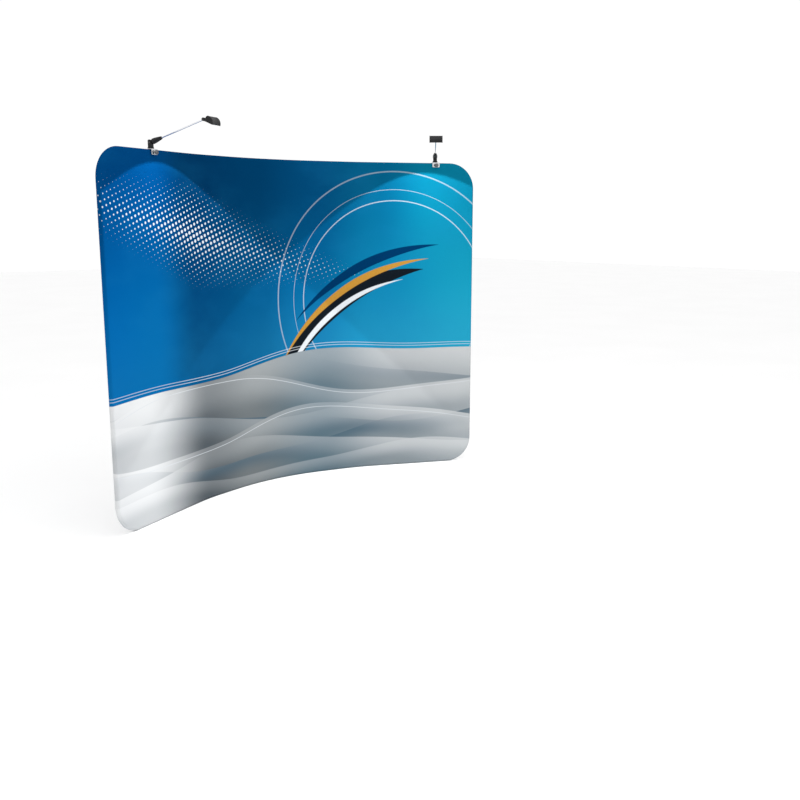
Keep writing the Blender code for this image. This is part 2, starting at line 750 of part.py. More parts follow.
def zip_chain():
    """The closed chain, swept along the display's curve."""
    low = HEM_TOP + ZIP_GAP - ZIP_MIDDLE
    section = [(FABRIC_INNER, low), (FABRIC_OUTER, low), (FABRIC_OUTER, -COIL_WIDTH / 2),
               (FABRIC_OUTER + COIL_HEIGHT, -COIL_CROWN_WIDTH / 2),
               (FABRIC_OUTER + COIL_HEIGHT, COIL_CROWN_WIDTH / 2),
               (FABRIC_OUTER, COIL_WIDTH / 2), (FABRIC_OUTER, -low), (FABRIC_INNER, -low)]
    stations = [s for s, rise, out, down in outline_columns() if abs(s) < ZIP_END - WELD]
    stations = [JOINT_GAP - ZIP_END] + stations + [ZIP_END - JOINT_GAP]
    shell = bmesh.new()
    rings = [[shell.verts.new(spot(s, ZIP_MIDDLE + up, -back)) for back, up in section] for s in stations]
    for ring, following in zip(rings, rings[1:]):
        for k in range(len(section)):
            nxt = (k + 1) % len(section)
            shell.faces.new((ring[k], following[k], following[nxt], ring[nxt]))
    shell.faces.new(rings[0])
    shell.faces.new(reversed(rings[-1]))
    bmesh.ops.recalc_face_normals(shell, faces=shell.faces)
    mesh = bpy.data.meshes.new("zip_chain")
    shell.to_mesh(mesh)
    shell.free()
    return place_part("zip_chain", mesh, ZIP_NYLON, WHOLE)


zip_chain()

# Slider and puller: local X along the chain, Y away from the fabric's back, Z up.
SLIDER_TURN = Matrix.Rotation(-plan(SLIDER_AT)[2], 3, "Z")
COIL_OUTER = FABRIC_OUTER + COIL_HEIGHT
ROOF_LOW = COIL_OUTER + SLIDER_CLEARANCE
ROOF_HIGH = ROOF_LOW + SLIDER_WALL
FLANGE_LOW = FABRIC_OUTER + SLIDER_CLEARANCE
FLANGE_INNER = COIL_WIDTH / 2 + SLIDER_CLEARANCE
BAR_AXIS = ROOF_HIGH + BAR_LIFT


def slider_mesh():
    """A channel over the coil, with an arch that holds the puller's end bar."""
    half_length = SLIDER_LENGTH / 2
    half_width = SLIDER_WIDTH / 2
    roof = box((-half_length, FLANGE_LOW, -half_width), (half_length, ROOF_HIGH, half_width))
    groove = box((-SLIDER_LENGTH, 0.0, -FLANGE_INNER), (SLIDER_LENGTH, ROOF_LOW, FLANGE_INNER))
    half_arch = ARCH_LENGTH / 2
    arch = box((-half_arch, ROOF_HIGH - SLIDER_WALL / 2, -ARCH_WIDTH / 2),
               (half_arch, ROOF_HIGH + ARCH_SPAN + ARCH_TOP, ARCH_WIDTH / 2))
    half_span = half_arch - ARCH_LEG
    span = box((-half_span, ROOF_HIGH, -ARCH_WIDTH), (half_span, ROOF_HIGH + ARCH_SPAN, ARCH_WIDTH))
    return cut(union(cut(roof, groove), arch), span)


def puller_mesh():
    """A flat tab with a slot for the arch; its origin is in the middle of its end bar."""
    half = PULLER_THICKNESS / 2
    tab = box((-half, -half, -PULLER_WIDTH / 2), (PULLER_LENGTH, half, PULLER_WIDTH / 2))
    slot = box((half, -PULLER_WIDTH, -PULLER_SLOT_WIDTH / 2), (PULLER_SLOT_END, PULLER_WIDTH, PULLER_SLOT_WIDTH / 2))
    grip = box((PULLER_GRIP_START, -PULLER_WIDTH, -PULLER_GRIP_WIDTH / 2),
               (PULLER_GRIP_END, PULLER_WIDTH, PULLER_GRIP_WIDTH / 2))
    return cut(tab, slot, grip)


slider_carrier = empty("zip_slider_path", WHOLE, spot(SLIDER_AT, ZIP_MIDDLE), SLIDER_TURN.to_euler())
place_part("zip_slider", slider_mesh(), ZIP_METAL, slider_carrier)
puller_carrier = empty("zip_puller_axis", slider_carrier, (0.0, BAR_AXIS, 0.0), (0.0, 0.0, math.pi))
place_part("zip_puller", puller_mesh(), ZIP_METAL, puller_carrier)

# Lamps. Their own frame: X along the rail, -Y to the front, Z up, with the rail's axis at the origin.
PLATE_LOW = FABRIC_OUTER + BRACKET_GAP
PLATE_TOP = PLATE_LOW + BRACKET_PLATE


def bracket_mesh():
    """The hook over the top rail, with its screw hole in front and its spindle hole on top."""
    back_inner = -(FABRIC_OUTER + BRACKET_GAP)
    back_outer = back_inner - BRACKET_WALL
    front_outer = BRACKET_FRONT + BRACKET_WALL
    c = BRACKET_CORNER
    outline = [(back_outer, -BRACKET_DROP), (back_inner, -BRACKET_DROP), (back_inner, PLATE_LOW),
               (BRACKET_FRONT, PLATE_LOW), (BRACKET_FRONT, -BRACKET_DROP), (front_outer, -BRACKET_DROP),
               (front_outer, PLATE_TOP - c), (front_outer - c, PLATE_TOP), (back_outer + c, PLATE_TOP),
               (back_outer, PLATE_TOP - c)]
    body = slab(outline, BRACKET_WIDTH / 2, SIDE_ON)
    screw_hole = cylinder(SCREW_HOLE_RADIUS, FABRIC_OUTER, front_outer + BRACKET_WALL, (0.0, -1.0, 0.0), SMALL_STEPS)
    spindle_hole = cylinder(SPINDLE_HOLE_RADIUS, 0.0, PLATE_TOP + BRACKET_PLATE, (0.0, 0.0, 1.0), ROUND_STEPS)
    return cut(body, screw_hole, spindle_hole)


PAD_FACE = FABRIC_OUTER + BRACKET_GAP
PAD_BACK = PAD_FACE + PAD_THICKNESS


def pad_mesh():
    """The pad that presses on the fabric over the rail."""
    return cylinder(PAD_RADIUS, PAD_FACE, PAD_BACK, (0.0, -1.0, 0.0), ROUND_STEPS)


def screw_mesh():
    """The clamp's screw with its lobed knob."""
    outline = []
    for step in range(KNOB_POINTS):
        angle = 2 * math.pi * step / KNOB_POINTS
        radius = KNOB_RADIUS - KNOB_LOBE_DEPTH * (1 - math.cos(KNOB_LOBES * angle)) / 2
        outline.append((radius * math.cos(angle), radius * math.sin(angle)))
    knob = slab(outline, (KNOB_END - KNOB_START) / 2, ((1.0, 0.0, 0.0), (0.0, 0.0, 1.0), (0.0, -1.0, 0.0)))
    knob = softened(shifted(knob, (0.0, -(KNOB_START + KNOB_END) / 2, 0.0)), KNOB_LOBE_DEPTH)
    shaft = cylinder(SCREW_RADIUS, PAD_BACK + JOINT_GAP, (KNOB_START + KNOB_END) / 2, (0.0, -1.0, 0.0), SMALL_STEPS)
    return union(knob, shaft)


CHEEK_INNER = TONGUE_HALF + RUN_GAP
CHEEK_OUTER = CHEEK_INNER + CHEEK_THICKNESS
KNUCKLE_LOW = PLATE_TOP + RUN_GAP
KNUCKLE_TOP = KNUCKLE_LOW + KNUCKLE_BASE


def knuckle_mesh():
    """The swivel base: disc, two cheeks for the arm's tongue, spindle through the hook, and the cord's inlet."""
    disc = turned([(0.0, KNUCKLE_TOP), (KNUCKLE_RADIUS - KNUCKLE_EDGE, KNUCKLE_TOP),
                   (KNUCKLE_RADIUS, KNUCKLE_TOP - KNUCKLE_EDGE), (KNUCKLE_RADIUS, KNUCKLE_LOW),
                   (SPINDLE_RADIUS, KNUCKLE_LOW), (SPINDLE_RADIUS, PLATE_LOW + RUN_GAP),
                   (0.0, PLATE_LOW + RUN_GAP)], ROUND_STEPS)
    barrel = cylinder(ELBOW_RADIUS, -CHEEK_OUTER, CHEEK_OUTER, (1.0, 0.0, 0.0), ROUND_STEPS)
    stem = box((-CHEEK_OUTER, -ELBOW_RADIUS, KNUCKLE_TOP - KNUCKLE_EDGE), (CHEEK_OUTER, ELBOW_RADIUS, ELBOW_HEIGHT))
    slot = box((-CHEEK_INNER, -CUT_SPAN, ELBOW_HEIGHT - ELBOW_RADIUS - RUN_GAP - KNUCKLE_EDGE),
               (CHEEK_INNER, CUT_SPAN, CUT_SPAN))
    bore = shifted(cylinder(ELBOW_PIN_HOLE, -CUT_SPAN, CUT_SPAN, (1.0, 0.0, 0.0), SMALL_STEPS),
                   (0.0, 0.0, ELBOW_HEIGHT))
    inlet = shifted(cylinder(INLET_RADIUS, KNUCKLE_RADIUS - INLET_DEPTH, KNUCKLE_RADIUS + INLET_DEPTH,
                             (0.0, 1.0, 0.0), SMALL_STEPS), (0.0, 0.0, INLET_HEIGHT))
    top = ELBOW_HEIGHT + 2 * ELBOW_RADIUS
    outside = cut(cylinder(2 * KNUCKLE_RADIUS, 0.0, top, (0.0, 0.0, 1.0), ROUND_STEPS),
                  cylinder(KNUCKLE_POST_RADIUS, -CUT_SPAN, CUT_SPAN, (0.0, 0.0, 1.0), ROUND_STEPS))
    post = cut(union(stem, shifted(barrel, (0.0, 0.0, ELBOW_HEIGHT))), outside)
    return cut(union(disc, post), slot, bore, inlet)


def headed_pin(radius, head_radius, half_grip, head_thickness):
    """A peened pin along X with a head at each end."""
    end = half_grip + RUN_GAP + head_thickness
    inner = half_grip + RUN_GAP
    mesh = turned([(0.0, end), (head_radius, end), (head_radius, inner), (radius, inner), (radius, -inner),
                   (head_radius, -inner), (head_radius, -end), (0.0, -end)], SMALL_STEPS)
    mesh.transform(Matrix.Rotation(QUARTER, 4, "Y"))
    return mesh


def sleeve_mesh():
    """The black tapered sleeve with its tongue; the elbow's axis is at the origin and the arm runs along -Y."""
    tongue = cylinder(ELBOW_RADIUS, -TONGUE_HALF, TONGUE_HALF, (1.0, 0.0, 0.0), ROUND_STEPS)
    neck = box((-TONGUE_HALF, -SLEEVE_START - RUN_GAP, -TONGUE_RISE), (TONGUE_HALF, 0.0, TONGUE_RISE))
    cone = turned([(0.0, SLEEVE_END), (SLEEVE_NARROW, SLEEVE_END), (SLEEVE_BELLY, SLEEVE_BELLY_AT),
                   (SLEEVE_WIDE, SLEEVE_START), (0.0, SLEEVE_START)], ROUND_STEPS)
    cone.transform(Matrix.Rotation(QUARTER, 4, "X"))
    pin_bore = cylinder(ELBOW_PIN_HOLE, -CUT_SPAN, CUT_SPAN, (1.0, 0.0, 0.0), SMALL_STEPS)
    rod_bore = cylinder(ROD_RADIUS + RUN_GAP, SLEEVE_END - ROD_INSET - JOINT_GAP, SLEEVE_END + ROD_INSET,
                        (0.0, -1.0, 0.0), ROUND_STEPS)
    return cut(union(cone, neck, tongue), pin_bore, rod_bore)


def rod_mesh():
    """The bright rod with the eye that carries the head."""
    rod = cylinder(ROD_RADIUS, SLEEVE_END - ROD_INSET, ARM_LENGTH, (0.0, -1.0, 0.0), ROUND_STEPS)
    eye = shifted(cylinder(EYE_RADIUS, -EYE_HALF, EYE_HALF, (1.0, 0.0, 0.0), ROUND_STEPS), (0.0, -ARM_LENGTH, 0.0))
    bore = shifted(cylinder(HEAD_PIN_HOLE, -CUT_SPAN, CUT_SPAN, (1.0, 0.0, 0.0), SMALL_STEPS),
                   (0.0, -ARM_LENGTH, 0.0))
    return cut(union(rod, eye), bore)


# Lamp head: its pin's axis is at the origin, and its flat underside runs to the front, HEAD_LIFT below the pin.
HEAD_CURVE_SHARES = [(0.0, 0.0), (1.0, 0.0), (0.985, 0.20), (0.93, 0.42), (0.83, 0.64), (0.69, 0.82), (0.52, 0.94),
                     (0.35, 1.0), (0.19, 0.97), (0.07, 0.85), (0.0, 0.66)]


def head_outline(inset):
    """The housing's side outline, drawn in by a wall all round."""
    length = HEAD_LENGTH - 2 * inset
    depth = HEAD_DEPTH - 2 * inset
    return [(HEAD_SETBACK + inset + length * share, inset - HEAD_LIFT + depth * up)
            for share, up in HEAD_CURVE_SHARES]


LENS_LENGTH = HEAD_LENGTH - 2 * HEAD_WALL - 2 * LENS_LEDGE
LENS_FIRST = HEAD_SETBACK + HEAD_WALL + LENS_LEDGE
LENS_HALF = HEAD_WIDTH / 2 - HEAD_WALL


def housing_mesh():
    """The black curved housing, hollow from below, with a forked neck behind for the pin."""
    shell = softened(slab(head_outline(0.0), HEAD_WIDTH / 2, SIDE_ON), HEAD_EDGE)
    hollow = slab(head_outline(HEAD_WALL), HEAD_WIDTH / 2 - HEAD_WALL, SIDE_ON)
    mouth = box((-LENS_HALF, -LENS_FIRST - LENS_LENGTH, -HEAD_LIFT - HEAD_DEPTH),
                (LENS_HALF, -LENS_FIRST, HEAD_WALL + LENS_THICKNESS - HEAD_LIFT))
    body = cut(shell, hollow, mouth)
    inner = EYE_HALF + RUN_GAP
    outer = inner + EAR_THICKNESS
    root = HEAD_SETBACK + EAR_OVERLAP
    neck = slab([(0.0, -EAR_RADIUS), (root, -HEAD_LIFT), (root, NECK_TOP), (0.0, EAR_RADIUS)], outer, SIDE_ON)
    neck = union(neck, cylinder(EAR_RADIUS, -outer, outer, (1.0, 0.0, 0.0), ROUND_STEPS))
    slot = box((-inner, -NECK_START, -CUT_SPAN), (inner, CUT_SPAN, CUT_SPAN))
    body = union(body, cut(neck, slot))
    clear = slab(head_outline(HEAD_WALL), HEAD_WIDTH / 2 - HEAD_WALL, SIDE_ON)
    bore = cylinder(HEAD_PIN_HOLE, -CUT_SPAN, CUT_SPAN, (1.0, 0.0, 0.0), SMALL_STEPS)
    return cut(body, clear, bore)


def lens_mesh():
    """The diffuser in the housing's mouth."""
    gap = RUN_GAP
    low = LENS_RECESS - HEAD_LIFT
    return box((-LENS_HALF + gap, -LENS_FIRST - LENS_LENGTH + gap, low),
               (LENS_HALF - gap, -LENS_FIRST - gap, low + LENS_THICKNESS))


def board_mesh():
    """The board with its light emitters on the underside."""
    low = BOARD_HEIGHT - HEAD_LIFT
    half = LENS_HALF - RUN_GAP
    first = LENS_FIRST + LENS_LEDGE
    board = box((-half, -HEAD_SETBACK - BOARD_REACH, low), (half, -first, low + BOARD_THICKNESS))
    for row in range(EMITTER_ROWS):
        for column in range(EMITTER_COLUMNS):
            across = (column - (EMITTER_COLUMNS - 1) / 2) * EMITTER_PITCH
            ahead = -(EMITTER_FIRST + row * EMITTER_ROW_PITCH)
            size = EMITTER_SIZE / 2
            emitter = box((across - size, ahead - size, low - EMITTER_HEIGHT),
                          (across + size, ahead + size, low + EMITTER_SINK))
            board = union(board, emitter)
    return board


LAMP_MESHES = {
    "bracket": (bracket_mesh(), BRACKET_METAL), "clamp_pad": (pad_mesh(), PAD_RUBBER),
    "clamp_screw": (screw_mesh(), PIN_STEEL), "knuckle": (knuckle_mesh(), ARM_BLACK),
    "elbow_pin": (headed_pin(ELBOW_PIN_RADIUS, ELBOW_HEAD_RADIUS, CHEEK_OUTER, PIN_HEAD_THICKNESS), PIN_STEEL),
    "arm_sleeve": (sleeve_mesh(), ARM_BLACK), "arm_rod": (rod_mesh(), ROD_CHROME),
    "head_pin": (headed_pin(HEAD_PIN_RADIUS, HEAD_PIN_HEAD, EYE_HALF + RUN_GAP + EAR_THICKNESS,
                            HEAD_PIN_HEAD_THICKNESS), PIN_STEEL),
    "head_housing": (housing_mesh(), ARM_BLACK), "led_board": (board_mesh(), BOARD_WHITE),
    "lens": (lens_mesh(), LENS_CLEAR),
}


def lamp(side, s, swivel, arm_rise, head_slope):
    """One lamp on its clamp, posed by its swivel, its arm's rise and its head's slope in degrees."""
    clamp = empty(f"{side}_clamp", WHOLE, spot(s, HIGH_AXIS), (0.0, 0.0, -plan(s)[2]))
    screw_axis = empty(f"{side}_screw_axis", clamp)
    swivel_axis = empty(f"{side}_swivel_axis", clamp, (0.0, 0.0, 0.0), (0.0, 0.0, math.radians(swivel)))
    elbow_axis = empty(f"{side}_elbow_axis", swivel_axis, (0.0, 0.0, ELBOW_HEIGHT),
                       (-math.radians(arm_rise), 0.0, 0.0))
    head_axis = empty(f"{side}_head_axis", elbow_axis, (0.0, -ARM_LENGTH, 0.0),
                      (math.radians(arm_rise + head_slope), 0.0, 0.0))
    carriers = {
        clamp: ["bracket"], screw_axis: ["clamp_pad", "clamp_screw"], swivel_axis: ["knuckle"],
        elbow_axis: ["arm_sleeve", "arm_rod"], head_axis: ["head_housing", "led_board", "lens"],
    }
    for carrier, names in carriers.items():
        for name in names:
            mesh, material = LAMP_MESHES[name]
            place_part(f"{side}_{name}", mesh, material, carrier)
    mesh, material = LAMP_MESHES["elbow_pin"]
    place_part(f"{side}_elbow_pin", mesh, material, swivel_axis, (0.0, 0.0, ELBOW_HEIGHT))
    mesh, material = LAMP_MESHES["head_pin"]
    place_part(f"{side}_head_pin", mesh, material, elbow_axis, (0.0, -ARM_LENGTH, 0.0))


lamp("left", LAMP_LEFT_AT, SWIVEL_LEFT, ARM_RISE_LEFT, HEAD_SLOPE_LEFT)
lamp("right", LAMP_RIGHT_AT, SWIVEL_RIGHT, ARM_RISE_RIGHT, HEAD_SLOPE_RIGHT)


def centre_on_floor():
    """Moves the whole object so that its origin is the middle of its box, at floor level."""
    bpy.context.view_layer.update()
    graph = bpy.context.evaluated_depsgraph_get()
    corners = []
    for piece in parts.objects:
        if piece.type == "MESH":
            solid = piece.evaluated_get(graph)
            corners += [solid.matrix_world @ vert.co for vert in solid.data.vertices]
    low = Vector([min(corner[i] for corner in corners) for i in range(3)])
    high = Vector([max(corner[i] for corner in corners) for i in range(3)])
    WHOLE.location = (-(low.x + high.x) / 2, -(low.y + high.y) / 2, -low.z)
    bpy.context.view_layer.update()


centre_on_floor()
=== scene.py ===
"""A curved tension fabric display: a printed pillowcase over a push-fit tube frame, with two clip-on lamps.

Metres, +Z up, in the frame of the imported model. Along the curve, s is the developed distance from the middle,
positive to the viewer's right, and n is the distance from the tubes' axes towards the viewer.
"""
import json
import math
from functools import cache

import bmesh
import bpy
from mathutils import Matrix, Vector


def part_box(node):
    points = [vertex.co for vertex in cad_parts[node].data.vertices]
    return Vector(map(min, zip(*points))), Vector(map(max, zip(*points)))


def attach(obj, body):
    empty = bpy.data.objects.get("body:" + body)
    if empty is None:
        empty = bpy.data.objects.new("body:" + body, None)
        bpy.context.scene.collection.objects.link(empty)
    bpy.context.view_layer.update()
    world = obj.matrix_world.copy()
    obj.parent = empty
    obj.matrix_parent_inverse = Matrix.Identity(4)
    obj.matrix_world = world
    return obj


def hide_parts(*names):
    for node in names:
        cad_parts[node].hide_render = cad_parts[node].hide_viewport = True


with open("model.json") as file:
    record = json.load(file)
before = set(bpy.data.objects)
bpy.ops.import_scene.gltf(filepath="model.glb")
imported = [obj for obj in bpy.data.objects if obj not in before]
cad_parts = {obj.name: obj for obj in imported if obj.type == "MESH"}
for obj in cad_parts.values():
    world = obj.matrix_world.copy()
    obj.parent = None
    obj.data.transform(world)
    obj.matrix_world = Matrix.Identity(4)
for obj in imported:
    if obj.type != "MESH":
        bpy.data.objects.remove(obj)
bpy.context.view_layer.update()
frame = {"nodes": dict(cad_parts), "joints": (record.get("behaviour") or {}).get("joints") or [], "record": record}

bl_info = {
    "name": "Curved tension fabric display",
    "version": (1, 0, 0),
    "blender": (4, 5, 0),
    "location": "3D View > Sidebar > Display",
    "description": "A printed cloth stretched over a curved tube frame, with two clip-on lamps",
    "category": "Object",
}

JOINTS = {joint["name"]: joint for joint in frame["joints"]}
POST_LOW, POST_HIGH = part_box("post_lower")
MIDDLE = Vector(((POST_LOW.x + POST_HIGH.x) / 2, (POST_LOW.y + POST_HIGH.y) / 2, 0.0))
UP = Vector((0.0, 0.0, 1.0))
QUARTER = math.pi / 2
SIDES = ("left", "right")
SMOOTH_ANGLE = math.radians(35)

# How close two coordinates are to count as one, corners to be merged, and edges to be dropped after rounding
NEAR = 0.0001
WELD = 0.000005
SLIVER = 0.000004
# Half the length of the plain tools that cut across a lamp's piece
BORE_REACH = 0.03

# The frame's curve
BEND_RADIUS = 1.44
CENTRE_BEND_END = 0.37
SIDE_BEND_START = 0.53
SIDE_BEND_END = 0.80
SIDE_AT = 1.554
CORNER_RADIUS = 0.17
CORNER_AT = SIDE_AT - CORNER_RADIUS
CLOTH_RADIUS = 0.0174
BASE_ANGLE = math.radians(76.2)
SEAM_LOW = math.radians(89.3)
SEAM_HIGH = math.radians(122.0)
SEAM_GAP = math.radians(0.7)
HEIGHT = 2.296
LOW_AXIS = CLOTH_RADIUS * math.sin(BASE_ANGLE)
HIGH_AXIS = HEIGHT - CLOTH_RADIUS

# Zip along the bottom of the back
ZIP_END = 1.30
HEM_TOP = 0.034
ZIP_TOP = 0.062
ZIP_MIDDLE = (HEM_TOP + ZIP_TOP) / 2
SLIDER_AT = 1.285
COIL_PITCH = 0.0020
COIL_WIDTH = 0.0050
COIL_LENGTH = 0.0011
COIL_BASE = 0.0008
COIL_CROWN = 0.0008
TAPE_FACE = 0.0002 - CLOTH_RADIUS
TAPE_THICKNESS = 0.0005
LINE_PITCH = 0.02
STITCH_SHARE = 0.68
STITCH_INSET = 0.0032
STITCH_LIFT = 0.0001
STITCH_MARGIN = 0.003

# Lamps
BRACKET_WIDTH = 0.055
BRACKET_WALL = 0.0025
BRACKET_FRONT = 0.0246
BRACKET_DROP = 0.014
PLATE_LOW = 0.0178
PLATE_TOP = 0.0208
SCREW_HOLE = 0.0029
SPINDLE_HOLE = 0.0044
PAD_FACE = 0.0178
PAD_BACK = 0.0204
KNOB_START = 0.037
KNOB_END = 0.047
KNOB_RADIUS = 0.015
LOBE_STEPS = 6
LOBE_ANGLE = 60
LOBE_DEPTH = 0.13
KNUCKLE_LOW = 0.0212
KNUCKLE_TOP = 0.0302
KNUCKLE_RADIUS = 0.019
ELBOW_HEIGHT = 0.058
ELBOW_RADIUS = 0.0165
TONGUE_HALF = 0.006
CHEEK_INNER = 0.0064
CHEEK_OUTER = 0.0144
POST_RADIUS = 0.0171
SLOT_FLOOR = 0.0115
ELBOW_PIN_HOLE = 0.0034
SLEEVE_START = 0.0174
SLEEVE_END = 0.084
SLEEVE_WIDE = 0.017
SLEEVE_BELLY = 0.0165
SLEEVE_BELLY_AT = 0.036
SLEEVE_NARROW = 0.0085
ROD_RADIUS = 0.0048
COLLAR_RADIUS = 0.0051
ARM_LENGTH = 0.390
HEAD_SLOPES = {"left": 23.5, "right": 20.0}
BEAM_CASTS = {"left": 12.0, "right": 10.0}
HEAD_LENGTH = 0.056
HEAD_DEPTH = 0.038
HEAD_WIDTH = 0.091
HEAD_WALL = 0.0025
HEAD_SETBACK = 0.034
HEAD_LIFT = 0.002
EAR_RADIUS = 0.010
EAR_INNER = 0.0054
EAR_OUTER = 0.0094
NECK_START = 0.012
NECK_TOP = 0.018
HEAD_PIN_HOLE = 0.0026
LENS_MARGIN = 0.0016
LENS_FIRST = HEAD_SETBACK + HEAD_WALL + LENS_MARGIN
LENS_LENGTH = HEAD_LENGTH - 2 * HEAD_WALL - 2 * LENS_MARGIN
LENS_HALF = HEAD_WIDTH / 2 - HEAD_WALL
LENS_GAP = 0.0004
BOARD_LOW = 0.010 - HEAD_LIFT
CAP_WIDTH = 0.0045
HEAD_STEPS = 5
GROOVES = 5
GROOVE_PITCH = 0.0052
GROOVE_HALF = 0.0011
EMITTER_PITCH = (0.021, 0.018)
BEAM_BLEND = 0.05
INLET_HEIGHT = 0.0262

# The camera, measured from the curve's middle
CAMERA_PLACE = (-3.6178, -5.69347, 1.8816)
CAMERA_YAW = -0.7001
CAMERA_PITCH = -0.1911
CAMERA_LENS = 41.94

# Share of the head's length and share of its depth, from the back over the top to the front lip
HEAD_TOP_SHARES = [(0.0, 0.66), (0.07, 0.85), (0.19, 0.97), (0.35, 1.0), (0.52, 0.94), (0.69, 0.82),
                   (0.83, 0.64), (0.93, 0.42), (0.985, 0.20), (1.0, 0.0)]


def linear(red, green, blue):
    """A colour given as 0 to 255 screen values, as the linear values that a shader reads."""
    shares = [value / 255 for value in (red, green, blue)]
    return tuple(v / 12.92 if v <= 0.04045 else ((v + 0.055) / 1.055) ** 2.4 for v in shares)


def length_setting(name, description, default, least):
    """A length for the sidebar."""
    return bpy.props.FloatProperty(name=name, description=description, default=default, min=least,
                                   unit="LENGTH")


def angle_setting(name, description, degrees):
    """An angle for the sidebar."""
    return bpy.props.FloatProperty(name=name, description=description, default=math.radians(degrees),
                                   subtype="ANGLE")


def colour_setting(name, description, colour):
    """A colour for the sidebar."""
    return bpy.props.FloatVectorProperty(name=name, description=description, default=colour, subtype="COLOR",
                                         size=3, min=0.0, max=1.0)


class ClothSettings(bpy.types.PropertyGroup):
    """Sizes of the pillowcase."""
    column_pitch: length_setting("Column pitch", "Spacing of the cloth's points along the curve", 0.014, 0.004)
    row_pitch: length_setting("Row pitch", "Spacing of the cloth's points up the display", 0.030, 0.008)
    thickness: length_setting("Thickness", "Thickness of the cloth", 0.0006, 0.0002)
    front_bow: length_setting("Front bow", "How far the front stands forward in the middle", 0.007, 0.0)
    back_bow: length_setting("Back bow", "How far the back is drawn forward beside the post", 0.005, 0.0)
    stitch_pitch: length_setting("Stitch pitch", "Spacing of the stitches", 0.0045, 0.002)


class PrintSettings(bpy.types.PropertyGroup):
    """Colours of the printed front."""
    # The deep blue also serves as painted shade in the darker band beside the left wing.
    deep: colour_setting("Deep blue", "Darkest blue of the print", linear(1, 44, 82))
    azure: colour_setting("Azure", "Blue of the print's left and middle", linear(1, 60, 112))
    cyan: colour_setting("Cyan", "Brightest blue, towards the right", linear(6, 107, 134))
    pale: colour_setting("Pale", "Light colour of the waves", linear(196, 200, 204))
    steel: colour_setting("Steel", "Shaded colour of the waves", linear(64, 86, 100))
    amber: colour_setting("Amber", "Warm accent of the print", linear(168, 122, 48))
    ink: colour_setting("Ink", "Near-black accent of the print", linear(16, 22, 28))


class LampSettings(bpy.types.PropertyGroup):
    """The two lamps' light and finish."""
    light_strength: bpy.props.FloatProperty(
        name="Light strength", description="Strength of each lamp's beam", default=46.0, min=0.0)
    left_beam: angle_setting("Left beam", "Full angle of the left lamp's beam", 104.8)
    right_beam: angle_setting("Right beam", "Full angle of the right lamp's beam", 111.2)
    black: colour_setting("Black", "Colour of the moulded lamp parts", (0.0065, 0.0067, 0.0075))


# Where each stretch of the curve ends, and whether it is bent
BENDS = ((CENTRE_BEND_END, True), (SIDE_BEND_START, False), (SIDE_BEND_END, True), (math.inf, False))


def plan(s):
    """Where developed distance s falls in plan, and how far the curve has turned there."""
    across = 0.0
    depth = 0.0
    turn = 0.0
    start = 0.0
    for end, bent in BENDS:
        length = min(abs(s), end) - start
        if bent:
            after = turn + length / BEND_RADIUS
            across += BEND_RADIUS * (math.sin(after) - math.sin(turn))
            depth += BEND_RADIUS * (math.cos(after) - math.cos(turn))
            turn = after
        else:
            across += length * math.cos(turn)
            depth -= length * math.sin(turn)
        start = end
        if abs(s) <= end:
            break
    side = -1.0 if s < 0 else 1.0
    return side * across, depth, side * turn


def spot(s, height, n=0.0):
    """The point at developed distance s, n in front of the tubes' axes."""
    across, depth, turn = plan(s)
    return MIDDLE + Vector((across - n * math.sin(turn), depth - n * math.cos(turn), height))


# Modelling

def only(obj):
    """Makes the object the only selected one, in object mode."""
    if bpy.context.object is not None and bpy.context.object.mode != "OBJECT":
        bpy.ops.object.mode_set(mode="OBJECT")
    bpy.ops.object.select_all(action="DESELECT")
    if obj is not None:
        obj.select_set(True)
        bpy.context.view_layer.objects.active = obj
    return obj


def begin(add, **sizes):
    """Adds a primitive on its own and opens it in edit mode, with all of it selected."""
    only(None)
    add(**sizes)
    obj = bpy.context.object
    bpy.ops.object.mode_set(mode="EDIT")
    bpy.ops.mesh.select_all(action="SELECT")
    return obj


def block(low, high):
    """A block between two corners, open in edit mode."""
    low = Vector(low)
    high = Vector(high)
    obj = begin(bpy.ops.mesh.primitive_cube_add, size=1.0, location=(low + high) / 2)
    bpy.ops.transform.resize(value=high - low, center_override=(low + high) / 2)
    return obj


def done(obj):
    """Leaves edit mode, with the object's place and turn applied to its mesh."""
    only(obj)
    bpy.ops.object.transform_apply(location=True, rotation=True, scale=True)
    return obj


def pick(obj, kind, test):
    """Selects the faces, edges or corners that pass the test, and nothing else."""
    bpy.ops.mesh.select_mode(type=kind)
    bpy.ops.mesh.select_all(action="DESELECT")
    shape = bmesh.from_edit_mesh(obj.data)
    place = obj.matrix_world
    turn = place.to_3x3()
    if kind == "FACE":
        for face in shape.faces:
            face.select_set(test(place @ face.calc_center_median(), (turn @ face.normal).normalized()))
    elif kind == "EDGE":
        for edge in shape.edges:
            edge.select_set(test(place @ edge.verts[0].co, place @ edge.verts[1].co))
    else:
        for vert in shape.verts:
            vert.select_set(test(place @ vert.co))
    shape.select_flush_mode()
    bmesh.update_edit_mesh(obj.data)


def looking(axis, way=1.0):
    """A test for the faces that look along an axis, or against it where way is -1."""
    return lambda centre, normal: getattr(normal, axis) * way > 0.9


def along(axis, a, b):
    """Whether an edge between two points runs along an axis."""
    return all(abs(getattr(a, other) - getattr(b, other)) < NEAR for other in "xyz" if other != axis)


def round_edges(obj, width, segments, test):
    """Rounds the edges that pass the test."""
    pick(obj, "EDGE", test)
    bpy.ops.mesh.bevel(offset=width, segments=segments, affect="EDGES")


def extrude(move):
    """Extrudes what is selected by a move."""
    bpy.ops.mesh.extrude_region_move(TRANSFORM_OT_translate={"value": tuple(move)})


def grow(factors, centre):
    """Scales what is selected about a centre."""
    bpy.ops.transform.resize(value=tuple(factors), center_override=tuple(centre))


